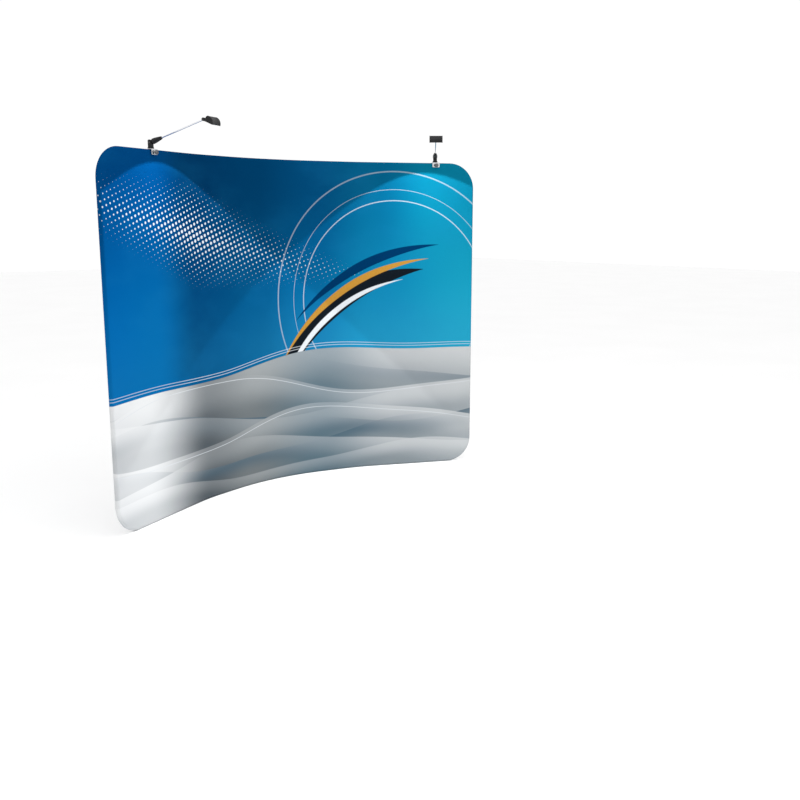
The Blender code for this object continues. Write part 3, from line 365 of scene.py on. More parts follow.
def recess(obj, test, margin, move):
    """Insets the faces that pass the test, and moves what is inside the margin."""
    pick(obj, "FACE", test)
    bpy.ops.mesh.inset(thickness=margin)
    bpy.ops.transform.translate(value=move)


def closed(obj):
    """Merges doubled corners, points every face outwards and leaves edit mode."""
    bpy.ops.mesh.select_mode(type="VERT")
    bpy.ops.mesh.select_all(action="SELECT")
    bpy.ops.mesh.remove_doubles(threshold=WELD)
    bpy.ops.mesh.normals_make_consistent(inside=False)
    return done(obj)


def turned(profile, segments):
    """A body turned about Z, closed at both ends; the profile lists (radius, height) upwards."""
    radius, height = profile[0]
    obj = begin(bpy.ops.mesh.primitive_circle_add, vertices=segments, radius=radius, fill_type="NGON",
                location=(0.0, 0.0, height))
    bpy.ops.mesh.select_mode(type="FACE")
    bpy.ops.mesh.select_all(action="SELECT")
    for (radius, height), (wider, higher) in zip(profile, profile[1:]):
        extrude((0.0, 0.0, higher - height))
        grow((wider / radius, wider / radius, 1.0), (0.0, 0.0, higher))
    return closed(obj)


def rod(radius, start, end, segments=32):
    """A plain tool for cutting a bore along Z."""
    return done(begin(bpy.ops.mesh.primitive_cylinder_add, vertices=segments, radius=radius, depth=end - start,
                      location=(0.0, 0.0, (start + end) / 2)))


ALONG_X = Matrix.Rotation(QUARTER, 4, "Y")
TO_FRONT = Matrix.Rotation(QUARTER, 4, "X")


def aimed(obj, turn, place=(0.0, 0.0, 0.0)):
    """Turns and moves a finished body, in its mesh."""
    only(obj)
    obj.matrix_world = Matrix.Translation(place) @ turn
    return done(obj)


def cross_bore(radius, height=0.0, back=0.0, segments=32):
    """A plain tool for cutting a bore across a lamp's piece."""
    return aimed(rod(radius, -BORE_REACH, BORE_REACH, segments), ALONG_X, (0.0, back, height))


def drum(radius, width, place, segments=48):
    """A short cylinder across a lamp's piece, open in edit mode."""
    return begin(bpy.ops.mesh.primitive_cylinder_add, vertices=segments, radius=radius, depth=width,
                 location=place, rotation=(0.0, QUARTER, 0.0))


def apply_step(obj, kind, **settings):
    """Adds a modifier and applies it."""
    only(obj)
    step = obj.modifiers.new("step", kind)
    for name, value in settings.items():
        setattr(step, name, value)
    bpy.ops.object.modifier_apply(modifier=step.name)
    return obj


def repeated(obj, count, move):
    """The body and its copies in a row, each a move on from the one before."""
    return apply_step(obj, "ARRAY", fit_type="FIXED_COUNT", count=count, use_relative_offset=False,
                      use_constant_offset=True, constant_offset_displace=move)


def combined(obj, operation, others):
    """The body joined with others or cut by them; they are used up."""
    for other in others:
        apply_step(obj, "BOOLEAN", operation=operation, solver="EXACT", object=other)
        bpy.data.objects.remove(other, do_unlink=True)
    return obj


def fused(obj, *others):
    """The body with others joined to it."""
    return combined(obj, "UNION", others)


def bored(obj, *tools):
    """The body with others cut out of it."""
    return combined(obj, "DIFFERENCE", tools)


def eased(obj, width):
    """The body with its sharp edges rounded, and without the slivers that this leaves."""
    apply_step(obj, "BEVEL", width=width, segments=2, limit_method="ANGLE", angle_limit=SMOOTH_ANGLE,
               miter_outer="MITER_ARC", harden_normals=False)
    bpy.ops.object.mode_set(mode="EDIT")
    bpy.ops.mesh.select_all(action="SELECT")
    bpy.ops.mesh.remove_doubles(threshold=SLIVER)
    bpy.ops.mesh.dissolve_degenerate(threshold=SLIVER)
    return done(obj)


def finish_piece(obj, name, material, body, replaced=(), smooth=True):
    """Names a piece, gives it its finish, and lets it ride on its body."""
    only(obj)
    obj.name = name
    obj.data.name = name
    if material is not None:
        obj.data.materials.clear()
        obj.data.materials.append(material)
    if smooth:
        bpy.ops.object.shade_smooth_by_angle(angle=SMOOTH_ANGLE)
    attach(obj, body)
    if replaced:
        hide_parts(*replaced)
    return obj


def both_sides(obj, name, places, body, material, node=None):
    """Copies a lamp's piece to both lamps, each copy with its own mesh, and removes the pattern."""
    for side in SIDES:
        only(None)
        copy = obj.copy()
        copy.data = obj.data.copy()
        bpy.context.scene.collection.objects.link(copy)
        aimed(copy, places[side])
        finish_piece(copy, f"{side}_{name}", material, body.format(side),
                     [f"{side}_{node}"] if node else ())
    bpy.data.objects.remove(obj, do_unlink=True)


def follow_line(obj, name, points, pitch, closed=False, twist="Z_UP"):
    """Repeats a small piece along a line of points and bends the row to follow them."""
    line = bpy.data.curves.new(name, "CURVE")
    line.dimensions = "3D"
    line.twist_mode = twist
    spline = line.splines.new("POLY")
    spline.points.add(len(points) - 1)
    for point, place in zip(spline.points, points):
        point.co = (*place, 1.0)
    spline.use_cyclic_u = closed
    path = bpy.data.objects.new(name, line)
    bpy.context.scene.collection.objects.link(path)
    ends = list(points) + ([points[0]] if closed else [])
    length = sum((Vector(b) - Vector(a)).length for a, b in zip(ends, ends[1:]))
    count = int(length / pitch)
    repeated(obj, count, (length / count, 0.0, 0.0))
    apply_step(obj, "CURVE", object=path, deform_axis="POS_X")
    bpy.data.objects.remove(path, do_unlink=True)
    return obj


# Finishes

class Number:
    """A number in a finish's nodes; arithmetic on it adds Math nodes."""

    def __init__(self, finish, socket):
        self.finish = finish
        self.socket = socket

    def math(self, operation, *terms):
        return self.finish.math(operation, self, *terms)

    def __add__(self, other):
        return self.math("ADD", other)

    def __sub__(self, other):
        return self.math("SUBTRACT", other)

    def __mul__(self, other):
        return self.math("MULTIPLY", other)

    def __truediv__(self, other):
        return self.math("DIVIDE", other)

    def __rsub__(self, other):
        return self.finish.math("SUBTRACT", other, self)

    def __abs__(self):
        return self.math("ABSOLUTE")

    __radd__ = __add__
    __rmul__ = __mul__

    def sine(self):
        return self.math("SINE")

    def fraction(self):
        return self.math("FRACT")

    def step(self, start, end):
        """0 below start and 1 above end, eased between."""
        return self.finish.number("ShaderNodeMapRange", {"interpolation_type": "SMOOTHSTEP"},
                                  {0: self, 1: start, 2: end})


class Finish:
    """A material in the making: its nodes and its shader."""

    def __init__(self, name, **constants):
        self.material = bpy.data.materials.new(name)
        self.material.use_nodes = True
        self.tree = self.material.node_tree
        self.shader = self.tree.nodes["Principled BSDF"]
        for label, value in constants.items():
            socket = self.shader.inputs[label.replace("_", " ")]
            socket.default_value = (*value, 1.0) if isinstance(value, tuple) and len(value) == 3 else value

    def node(self, kind, settings, values):
        """One node of any type: its settings come first, and then the values or links of its sockets."""
        node = self.tree.nodes.new(kind)
        for label, value in settings.items():
            if label == "stops":
                ramp = node.color_ramp
                ramp.interpolation = "EASE"
                while len(ramp.elements) < len(value):
                    ramp.elements.new(0.5)
                for element, (place, colour) in zip(ramp.elements, value):
                    element.position = place
                    element.color = (*colour, 1.0)
            else:
                setattr(node, label, value)
        for key, value in values.items():
            self.feed(node.inputs[key], value)
        return node

    def feed(self, socket, value):
        """Links a socket or sets its value."""
        if isinstance(value, Number):
            value = value.socket
        if isinstance(value, bpy.types.NodeSocket):
            self.tree.links.new(value, socket)
        elif isinstance(value, tuple) and len(value) == 3 and len(socket.default_value) == 4:
            socket.default_value = (*value, 1.0)
        else:
            socket.default_value = value

    def number(self, kind, settings, values):
        return Number(self, self.node(kind, settings, values).outputs[0])

    def math(self, operation, *terms):
        return self.number("ShaderNodeMath", {"operation": operation}, dict(enumerate(terms)))

    def mix(self, share, first, second):
        """The second colour laid over the first by a share."""
        node = self.node("ShaderNodeMix", {"data_type": "RGBA", "clamp_factor": True},
                         {0: share, 6: first, 7: second})
        return node.outputs[2]

    def ramp(self, value, stops):
        """The colour at a value between the stops, eased from one to the next."""
        return self.node("ShaderNodeValToRGB", {"stops": stops}, {0: value}).outputs[0]

    def coordinates(self, scale=(1.0, 1.0, 1.0), cloth=False):
        """The piece's own coordinates in metres times a scale, or its cloth map's."""
        if cloth:
            source = self.node("ShaderNodeUVMap", {"uv_map": "cloth"}, {}).outputs[0]
        else:
            source = self.node("ShaderNodeTexCoord", {}, {}).outputs["Object"]
        return self.node("ShaderNodeMapping", {}, {"Vector": source, "Scale": scale}).outputs[0]

    def noise(self, scale, detail=2.0, roughness=0.5, at=None):
        return self.number("ShaderNodeTexNoise", {}, {
            "Vector": at if at is not None else self.coordinates(), "Scale": scale, "Detail": detail,
            "Roughness": roughness})

    def split(self, scale=(1.0, 1.0, 1.0)):
        """The cloth map's two coordinates, along the curve and upwards."""
        node = self.node("ShaderNodeSeparateXYZ", {}, {0: self.coordinates(scale, cloth=True)})
        return Number(self, node.outputs[0]), Number(self, node.outputs[1])

    def bump(self, height, distance):
        bump = self.node("ShaderNodeBump", {}, {"Height": height, "Distance": distance, "Strength": 1.0})
        self.feed(self.shader.inputs["Normal"], bump.outputs[0])

    def set(self, label, value):
        self.feed(self.shader.inputs[label], value)


# Colour, roughness, depth of the grain, and its scale along each axis
METALS = {
    "satin_aluminium": ((0.72, 0.73, 0.75), 0.34, 0.00004, (60.0, 60.0, 60.0)),
    "spring_steel": ((0.60, 0.60, 0.62), 0.28, 0.00002, (300.0, 300.0, 300.0)),
    "brushed_bracket": ((0.78, 0.78, 0.79), 0.30, 0.00003, (60.0, 900.0, 900.0)),
    "dark_steel": ((0.12, 0.12, 0.125), 0.34, 0.00002, (500.0, 500.0, 500.0)),
    "grey_knob": ((0.16, 0.16, 0.17), 0.36, 0.00003, (500.0, 500.0, 500.0)),
    "nickel_plate": ((0.70, 0.70, 0.71), 0.24, 0.00002, (700.0, 700.0, 700.0)),
}


@cache
def metal(name):
    """Bare metal with a directional grain and slightly uneven polish."""
    colour, roughness, grain, grain_scale = METALS[name]
    paint = Finish(name, Metallic=1.0)
    clouds = paint.noise(38.0, 3.0)
    lines = paint.noise(1.0, 2.0, at=paint.coordinates(grain_scale))
    darker = tuple(value * 0.80 for value in colour)
    paint.set("Base Color", paint.mix(clouds.step(0.30, 0.75), darker, colour))
    paint.set("Roughness", clouds * 0.06 + lines * 0.10 + (roughness - 0.05))
    paint.bump(lines, grain)
    return paint.material


@cache
def chrome():
    paint = Finish("bright_chrome", Metallic=1.0)
    clouds = paint.noise(90.0, 4.0)
    paint.set("Base Color", paint.mix(clouds.step(0.35, 0.8), (0.80, 0.80, 0.82), (0.88, 0.88, 0.90)))
    paint.set("Roughness", clouds * 0.06 + 0.07)
    return paint.material


def moulded_plastic(name, colour, roughness, texture=0.00006, gloss=0.5):
    """Moulded plastic with a fine spark-eroded texture."""
    paint = Finish(name, Specular_IOR_Level=gloss)
    grain = paint.noise(1500.0, 2.0, 0.6)
    clouds = paint.noise(45.0, 3.0)
    lighter = tuple(value * 1.4 + 0.002 for value in colour)
    paint.set("Base Color", paint.mix(clouds.step(0.35, 0.75), colour, lighter))
    paint.set("Roughness", clouds * 0.10 + (roughness - 0.05))
    paint.bump(grain, texture)
    return paint.material


@cache
def lamp_black():
    return moulded_plastic("lamp_black", tuple(bpy.context.scene.display_lamps.black), 0.46, gloss=0.28)


@cache
def saddle_plastic():
    return moulded_plastic("saddle_black", (0.025, 0.025, 0.026), 0.50)


@cache
def pad_rubber():
    return moulded_plastic("pad_rubber", (0.022, 0.022, 0.022), 0.85, 0.00010)


@cache
def nylon():
    return moulded_plastic("coil_nylon", (0.70, 0.71, 0.72), 0.45, 0.00003)


@cache
def thread():
    paint = Finish("sewing_thread", Roughness=0.75)
    twist = paint.noise(1800.0, 1.0)
    paint.set("Base Color", paint.mix(twist.step(0.3, 0.7), (0.60, 0.61, 0.62), (0.80, 0.81, 0.82)))
    paint.bump(twist, 0.00005)
    return paint.material


@cache
def board_white():
    paint = Finish("lamp_board", Roughness=0.5)
    specks = paint.noise(600.0, 2.0)
    paint.set("Base Color", paint.mix(specks.step(0.4, 0.7), (0.74, 0.74, 0.72), (0.82, 0.82, 0.80)))
    paint.bump(specks, 0.00002)
    return paint.material


@cache
def emitter_glow():
    paint = Finish("emitter_glow", Roughness=0.3, Emission_Strength=14.0)
    glow = paint.noise(300.0, 1.0)
    paint.set("Base Color", paint.mix(glow, (0.9, 0.85, 0.6), (1.0, 0.95, 0.75)))
    paint.set("Emission Color", paint.mix(glow, (1.0, 0.96, 0.88), (1.0, 0.99, 0.95)))
    return paint.material


@cache
def frosted_lens():
    paint = Finish("frosted_lens", IOR=1.46, Emission_Strength=2.4)
    frost = paint.noise(1400.0, 2.0)
    across = paint.number("ShaderNodeSeparateXYZ", {}, {0: paint.coordinates((2100.0, 2100.0, 2100.0))})
    paint.set("Base Color", paint.mix(frost, (0.86, 0.88, 0.90), (0.94, 0.95, 0.96)))
    paint.set("Emission Color", paint.mix(frost, (0.92, 0.96, 1.0), (1.0, 1.0, 1.0)))
    paint.set("Roughness", frost * 0.15 + 0.30)
    paint.bump(frost + across.sine() * 0.3, 0.00004)
    return paint.material


def knit(paint):
    """Fine warp-knit relief of the stretch cloth, on the cloth's own map in metres."""
    wale = 2 * math.pi / 0.0016
    across, up = paint.split((wale, wale, 1.0))
    paint.bump(across.sine() * (up * 1.3).sine() * 0.5 + paint.noise(260.0, 2.0) * 0.4, 0.00008)


@cache
def plain_cloth():
    paint = Finish("plain_cloth", Roughness=0.86, Sheen_Weight=0.15, Sheen_Roughness=0.5)
    clouds = paint.noise(5.0, 3.0)
    yarn = paint.noise(900.0, 1.0, at=paint.coordinates((1.0, 3.0, 1.0), cloth=True))
    shade = paint.mix(clouds.step(0.2, 0.8), (0.752, 0.762, 0.777), (0.768, 0.778, 0.793))
    paint.set("Base Color", paint.mix(yarn.step(0.2, 0.8) * 0.35, shade, (0.83, 0.835, 0.845)))
    knit(paint)
    return paint.material


@cache
def inner_cloth():
    paint = Finish("cloth_inside", Roughness=0.9)
    yarn = paint.noise(700.0, 1.0)
    paint.set("Base Color", paint.mix(yarn, (0.74, 0.76, 0.79), (0.82, 0.83, 0.85)))
    paint.bump(yarn, 0.00005)
    return paint.material


@cache
def zip_tape():
    paint = Finish("zip_tape", Roughness=0.8)
    weave = 2 * math.pi / 0.0010
    across, up = paint.split((weave, weave, 1.0))
    rib = (across + up).sine()
    paint.set("Base Color", paint.mix(rib * 0.5 + 0.5, (0.60, 0.61, 0.63), (0.76, 0.77, 0.78)))
    paint.bump(rib, 0.00008)
    return paint.material


def wave(s, base, swing, rate, lead, ripple, ripple_rate, ripple_lead):
    """A flowing line across the print: its height at each s."""
    return (s * rate + lead).sine() * swing + (s * ripple_rate + ripple_lead).sine() * ripple + base


# Height, then swing, rate and lead of a long and a short wave, then the depth of its fade and its strength
LIGHT_BANDS = ((0.87, 0.070, 1.55, 0.35, 0.020, 4.3, 0.4, 0.34, 0.95),
               (0.72, 0.110, 1.9, 2.9, 0.018, 5.1, 2.0, 0.24, 0.80),
               (0.60, 0.120, 1.5, 4.6, 0.022, 3.9, 4.4, 0.20, 0.75),
               (0.44, 0.090, 2.2, 0.6, 0.016, 5.3, 0.7, 0.22, 0.85),
               (0.26, 0.085, 1.7, 2.2, 0.014, 4.7, 3.1, 0.18, 0.80),
               (0.14, 0.060, 2.4, 4.9, 0.010, 5.9, 1.1, 0.12, 0.70))
SHADE_BANDS = ((0.80, 0.120, 1.7, 1.9, 0.016, 4.9, 1.7, 0.13, 0.70),
               (0.50, 0.130, 1.4, 3.4, 0.020, 4.1, 0.2, 0.16, 0.75),
               (0.30, 0.100, 1.9, 5.3, 0.014, 5.5, 2.6, 0.12, 0.65))
# The band that each thin line keeps beside, and how far above it
LINES = ((LIGHT_BANDS[0], 0.022), (LIGHT_BANDS[0], 0.040), (LIGHT_BANDS[3], -0.030), (LIGHT_BANDS[1], -0.024))
# Radius, width and strength of each thin arc about the arcs' centre
ARC_CENTRE = (0.95, 1.30)
ARCS = ((0.72, 0.0030, 0.50), (0.80, 0.0018, 0.40), (0.93, 0.0040, 0.35))
# Centre, radius, half width, start and end of each sweeping ribbon
RIBBONS = ((1.30, 0.10, 1.42, 0.075, -0.22, 1.18, "ink"), (1.36, 0.06, 1.54, 0.026, 0.02, 1.22, "amber"),
           (1.24, 0.16, 1.30, 0.020, -0.16, 1.02, "pale"), (1.40, 0.02, 1.68, 0.034, 0.16, 1.30, "deep"))
DOT_PITCH = 0.034


def distance(across, up):
    """How far a point is from a centre, from its two offsets."""
    return (across * across + up * up).math("SQRT")


@cache
def printed_cloth():
    """The printed front: blues over pale flowing bands, with a dot screen, arcs and sweeping ribbons, and painted
    shade in a band beside the left wing.
    """
    colours = bpy.context.scene.display_print
    tones = {name: tuple(getattr(colours, name)) for name in PrintSettings.__annotations__}
    paint = Finish("printed_cloth", Roughness=0.80, Specular_IOR_Level=0.0)
    s, z = paint.split()
    drift = paint.noise(1.6, 4.0, 0.55, at=paint.coordinates((1.0, 1.6, 1.0), cloth=True))
    reach = (s + 1.6) / 3.2
    colour = print_ground(paint, s, z, reach, drift, tones)
    colour = print_dots(paint, s, z, colour, tones)
    colour = print_arcs(paint, s, z, colour, tones)
    colour = print_bands(paint, s, z, reach, colour, tones)
    paint.set("Base Color", colour)
    knit(paint)
    return paint.material


def print_ground(paint, s, z, reach, drift, tones):
    """The blue ground, brightening to the right and towards the bands, with painted shade in a darker band beside
    the left wing.
    """
    # Painted shade: the dark stops near 0.25 in the row ramp and near 0.27 in the lower ramp make a shaded band
    # beside the left wing.
    row = paint.ramp(reach, [(0.0, tones["azure"]), (0.14, tones["azure"]), (0.25, tones["deep"]),
                             (0.45, linear(1, 54, 92)), (0.60, linear(2, 66, 108)), (0.76, linear(4, 86, 122)),
                             (0.90, tones["cyan"]), (1.0, tones["cyan"])])
    lower = paint.ramp(reach, [(0.0, linear(2, 88, 150)), (0.14, linear(2, 90, 148)),
                               (0.27, linear(2, 60, 104)), (0.45, linear(3, 74, 118)),
                               (0.60, linear(6, 92, 138)), (0.76, linear(12, 118, 156)),
                               (1.0, linear(22, 138, 166))])
    row = paint.mix(1 - z.step(1.05, 2.15), row, lower)
    haze = (1 - z.step(0.80, 1.50)) * (s.step(-0.5, 0.9) * 0.80 + 0.20)
    colour = paint.mix(haze * 0.40, row, linear(46, 144, 180))
    return paint.mix(drift.step(0.42, 0.75) * 0.16, colour, linear(24, 110, 158))


def print_dots(paint, s, z, colour, tones):
    """A dot screen that runs down the left half and fades out to both sides."""
    cell_s = ((s * 0.94 + z * 0.34) / DOT_PITCH).fraction() - 0.5
    cell_z = ((z * 0.94 - s * 0.34) / DOT_PITCH).fraction() - 0.5
    middle = abs(z - 1.62 + s * 0.22)
    size = 0.34 - middle * 0.95 - abs(s + 0.72) * 0.20
    dots = (distance(cell_s, cell_z) - size).step(0.04, -0.04)
    return paint.mix(dots * 0.85, colour, tones["pale"])


def print_arcs(paint, s, z, colour, tones):
    """Thin arcs behind the right half, and the sweeping ribbons across them."""
    away = distance(s - ARC_CENTRE[0], z - ARC_CENTRE[1])
    for radius, width, share in ARCS:
        line = abs(away - radius).step(width * 1.6, width * 0.8)
        colour = paint.mix(line * share, colour, tones["pale"])
    for centre_s, centre_z, radius, width, start, end, tone in RIBBONS:
        rise = z - centre_z
        away = distance(s - centre_s, rise)
        travel = ((s - start) / (end - start)).math("MINIMUM", 1.0).math("MAXIMUM", 0.0)
        band = (abs(away - radius) - (travel * math.pi).sine() * width).step(0.003, -0.003)
        inside = s.step(start, start + 0.01) * (1 - s.step(end - 0.01, end)) * rise.step(0.0, 0.05)
        colour = paint.mix(band * inside, colour, tones[tone])
    return colour


def print_bands(paint, s, z, reach, colour, tones):
    """Pale and steel bands flowing across the lower part, each crisp above and fading below; painted shade darkens
    the ground and the pale bands beside the left wing.
    """
    # Painted shade: the dark stops near 0.29 and 0.30 darken the ground and the pale bands in a band beside the
    # left wing.
    ground = paint.ramp(reach, [
        (0.0, (0.42, 0.435, 0.45)), (0.10, (0.46, 0.475, 0.485)), (0.29, (0.062, 0.074, 0.084)),
        (0.42, (0.120, 0.135, 0.142)), (0.60, (0.075, 0.118, 0.146)), (0.80, (0.18, 0.208, 0.225)),
        (1.0, (0.26, 0.285, 0.30))])
    light = paint.ramp(reach, [
        (0.0, (0.62, 0.628, 0.636)), (0.10, (0.66, 0.668, 0.672)), (0.30, (0.165, 0.178, 0.186)),
        (0.45, (0.255, 0.272, 0.278)), (0.62, (0.220, 0.258, 0.282)), (0.80, (0.40, 0.415, 0.425)),
        (1.0, (0.44, 0.455, 0.462))])
    top = wave(s, *LIGHT_BANDS[0][:7])
    inside = (top - z).step(-0.002, 0.003)
    colour = paint.mix(inside, colour, ground)
    for bands, tone in ((SHADE_BANDS, tones["steel"]), (LIGHT_BANDS, light)):
        for band in bands:
            below = wave(s, *band[:7]) - z
            fade = 1 - (below / band[7]).step(0.0, 1.0)
            cover = below.step(-0.002, 0.003) * inside * fade * band[8]
            colour = paint.mix(cover, colour, tone)
    for band, lift in LINES:
        line = abs(wave(s, *band[:7]) + lift - z).step(0.0034, 0.0016)
        colour = paint.mix(line * 0.55, colour, tones["pale"])
    return colour


# Cloth

def stations(start, end, pitch):
    """Evenly spaced stations from start to end, no further apart than the pitch."""
    count = max(1, math.ceil((end - start) / pitch))
    return [start + (end - start) * step / count for step in range(count + 1)]


CORNER_STEPS = 16
WRAP_STEPS = 9


def seam_angle(facing, down):
    """How far round the tube a face reaches: to the middle along the floor, and on to the back elsewhere."""
    front = SEAM_LOW + (SEAM_HIGH - SEAM_LOW) * min(1.0, 1.0 + down)
    return front if facing > 0 else math.pi - front - SEAM_GAP


def wrap_angles(facing, down):
    """The angles round the tube from the flat of a face to its seam."""
    return [seam_angle(facing, down) * step / WRAP_STEPS for step in range(WRAP_STEPS + 1)]


def cloth_columns(pitch):
    """Stations across the display, each with the rise of the frame's corner there and its outward way."""
    half = [(s, 0.0, 0.0, -1.0) for s in stations(0.0, ZIP_END, pitch)]
    half += [(s, 0.0, 0.0, -1.0) for s in stations(ZIP_END, CORNER_AT, pitch)[1:-1]]
    for step in range(CORNER_STEPS + 1):
        angle = QUARTER * step / CORNER_STEPS
        half.append((CORNER_AT + CORNER_RADIUS * math.sin(angle), CORNER_RADIUS * (1 - math.cos(angle)),
                     math.sin(angle), -math.cos(angle)))
    return [(-s, rise, -out, down) for s, rise, out, down in reversed(half[1:])] + half


def bow(s, z, facing, settings):
    """How far the stretched cloth stands forward of a straight line between the rails."""
    share = (z - LOW_AXIS) / (HIGH_AXIS - LOW_AXIS)
    up = max(0.0, math.sin(math.pi * min(max(share, 0.0), 1.0))) ** 0.8
    across = max(0.0, 1 - (abs(s) / SIDE_AT) ** 3)
    if facing > 0:
        return settings.front_bow * up * across
    between = math.sin(math.pi * min(abs(s) / SIDE_AT, 1.0)) ** 2 if abs(s) < SIDE_AT else 0.0
    return -settings.back_bow * up * between


class Cloth:
    """An open cloth surface in the making, with its flat map in metres."""

    def __init__(self):
        self.verts = []
        self.flat = []
        self.faces = []

    def point(self, place, flat):
        self.verts.append(place)
        self.flat.append(flat)
        return len(self.verts) - 1

    def strip(self, first, second, flip):
        """Faces between two rows of points."""
        for a, b, c, d in zip(first, first[1:], second[1:], second):
            self.faces.append((d, c, b, a) if flip else (a, b, c, d))

    def area(self):
        """The flat area of the cut, from its own map."""
        total = 0.0
        for face in self.faces:
            corners = [self.flat[index] for index in face]
            onward = corners[1:] + corners[:1]
            total += abs(sum(a[0] * b[1] - b[0] * a[1] for a, b in zip(corners, onward))) / 2
        return total

    def extent(self):
        """The width and length of the flat cut."""
        across = [flat[0] for flat in self.flat]
        up = [flat[1] for flat in self.flat]
        return max(across) - min(across), max(up) - min(up)

    def build(self, name, thickness, outside, inside):
        """The cloth as an object with its thickness, standing on the floor."""
        mesh = bpy.data.meshes.new(name)
        mesh.from_pydata(self.verts, [], self.faces)
        layer = mesh.uv_layers.new(name="cloth")
        for loop in mesh.loops:
            layer.data[loop.index].uv = self.flat[loop.vertex_index]
        obj = bpy.data.objects.new(name, mesh)
        bpy.context.scene.collection.objects.link(obj)
        mesh.materials.append(outside)
        mesh.materials.append(inside)
        apply_step(obj, "SOLIDIFY", thickness=thickness, offset=-1.0, use_even_offset=False, material_offset=1,
                   material_offset_rim=0)
        for vert in obj.data.vertices:
            vert.co.z = max(vert.co.z, 0.0)
        obj.data.shade_smooth()
        return obj


def panel(facing, settings, notched):
    """One face of the pillowcase, wrapped to the seam; a notched one leaves room for the zip."""
    cloth = Cloth()
    columns = cloth_columns(settings.column_pitch)
    step_up = ZIP_TOP - LOW_AXIS
    count = math.ceil((HIGH_AXIS - LOW_AXIS - step_up) / settings.row_pitch)
    grid = []
    for s, rise, out, down in columns:
        low = LOW_AXIS + rise
        high = HIGH_AXIS - rise
        heights = [low] + [low + step_up + (high - low - step_up) * k / count for k in range(count + 1)]
        column = []
        for z in heights:
            place = spot(s, z, facing * CLOTH_RADIUS + bow(s, z, facing, settings))
            column.append(cloth.point(place, (s, z)))
        grid.append(column)
    open_column = [notched and abs(s) < ZIP_END + 0.0001 for s, rise, out, down in columns]
    flip = facing > 0
    for i in range(len(columns) - 1):
        start = 1 if open_column[i] and open_column[i + 1] else 0
        cloth.strip(grid[i][start:], grid[i + 1][start:], flip)
    # The edge: low side left to right, right side up, high side right to left, left side down
    last = len(columns) - 1
    edge = [(i, 0, columns[i][2], columns[i][3]) for i in range(last + 1)]
    edge += [(last, k, 1.0, 0.0) for k in range(1, count + 2)]
    edge += [(i, count + 1, columns[i][2], -columns[i][3]) for i in range(last - 1, -1, -1)]
    edge += [(0, k, -1.0, 0.0) for k in range(count, 0, -1)]
    rings = []
    for i, k, out, down in edge:
        s, z = cloth.flat[grid[i][k]]
        ring = [grid[i][k]]
        for angle in wrap_angles(facing, down)[1:]:
            reach = CLOTH_RADIUS * math.sin(angle)
            place = spot(s + out * reach, z + down * reach, facing * CLOTH_RADIUS * math.cos(angle))
            laid = CLOTH_RADIUS * angle
            ring.append(cloth.point(place, (s + out * laid, z + down * laid)))
        rings.append((i, k, ring))
    for (i, k, ring), (j, m, following) in zip(rings, rings[1:] + rings[:1]):
        if k == 0 and m == 0 and open_column[i] and open_column[j]:
            continue
        cloth.strip(ring, following, not flip)
    used = sorted({index for face in cloth.faces for index in face})
    order = {index: new for new, index in enumerate(used)}
    cloth.verts = [cloth.verts[index] for index in used]
    cloth.flat = [cloth.flat[index] for index in used]
    cloth.faces = [tuple(order[index] for index in face) for face in cloth.faces]
    return cloth


def hem(settings):
    """The strip from the seam under the bottom rail up the back to the zip."""
    cloth = Cloth()
    rows = []
    for s in stations(0.0003 - ZIP_END, ZIP_END - 0.0003, settings.column_pitch):
        row = []
        for angle in reversed(wrap_angles(-1.0, -1.0)):
            place = spot(s, LOW_AXIS - CLOTH_RADIUS * math.sin(angle), -CLOTH_RADIUS * math.cos(angle))
            row.append(cloth.point(place, (s, LOW_AXIS - CLOTH_RADIUS * angle)))
        for z in (LOW_AXIS + (HEM_TOP - LOW_AXIS) / 2, HEM_TOP):
            row.append(cloth.point(spot(s, z, -CLOTH_RADIUS), (s, z)))
        rows.append(row)
    for row, following in zip(rows, rows[1:]):
        cloth.strip(row, following, False)
    return cloth


TUBES = [f"rail_{level}_{part}" for level in ("bottom", "top") for part in ("left", "centre", "right")]
TUBES += [f"corner_{level}_{side}" for level in ("bottom", "top") for side in SIDES]
TUBES += [f"upright_{side}_{part}" for side in SIDES for part in ("lower", "upper")]


class DISPLAY_OT_printed_front(bpy.types.Operator):
    """Stretch the printed front cloth over the frame"""
    bl_idname = "display.printed_front"
    bl_label = "Printed front"

    def execute(self, context):
        settings = context.scene.display_cloth
        cloth = panel(1.0, settings, False)
        obj = cloth.build("front_cloth", settings.thickness, printed_cloth(), inner_cloth())
        finish_piece(obj, "front_cloth", None, "frame", ["fabric_front"], smooth=False)
        cloth.extent()
        cloth.area()
        return {"FINISHED"}


class DISPLAY_OT_plain_back(bpy.types.Operator):
    """Stretch the plain back cloth and its hem over the frame"""
    bl_idname = "display.plain_back"
    bl_label = "Plain back"

    def execute(self, context):
        settings = context.scene.display_cloth
        for cloth, name, node in ((panel(-1.0, settings, True), "back_cloth", "fabric_back"),
                                  (hem(settings), "back_hem", "fabric_hem")):
            obj = cloth.build(name, settings.thickness, plain_cloth(), inner_cloth())
            finish_piece(obj, name, None, "frame", [node], smooth=False)
            cloth.extent()
            cloth.area()
        return {"FINISHED"}


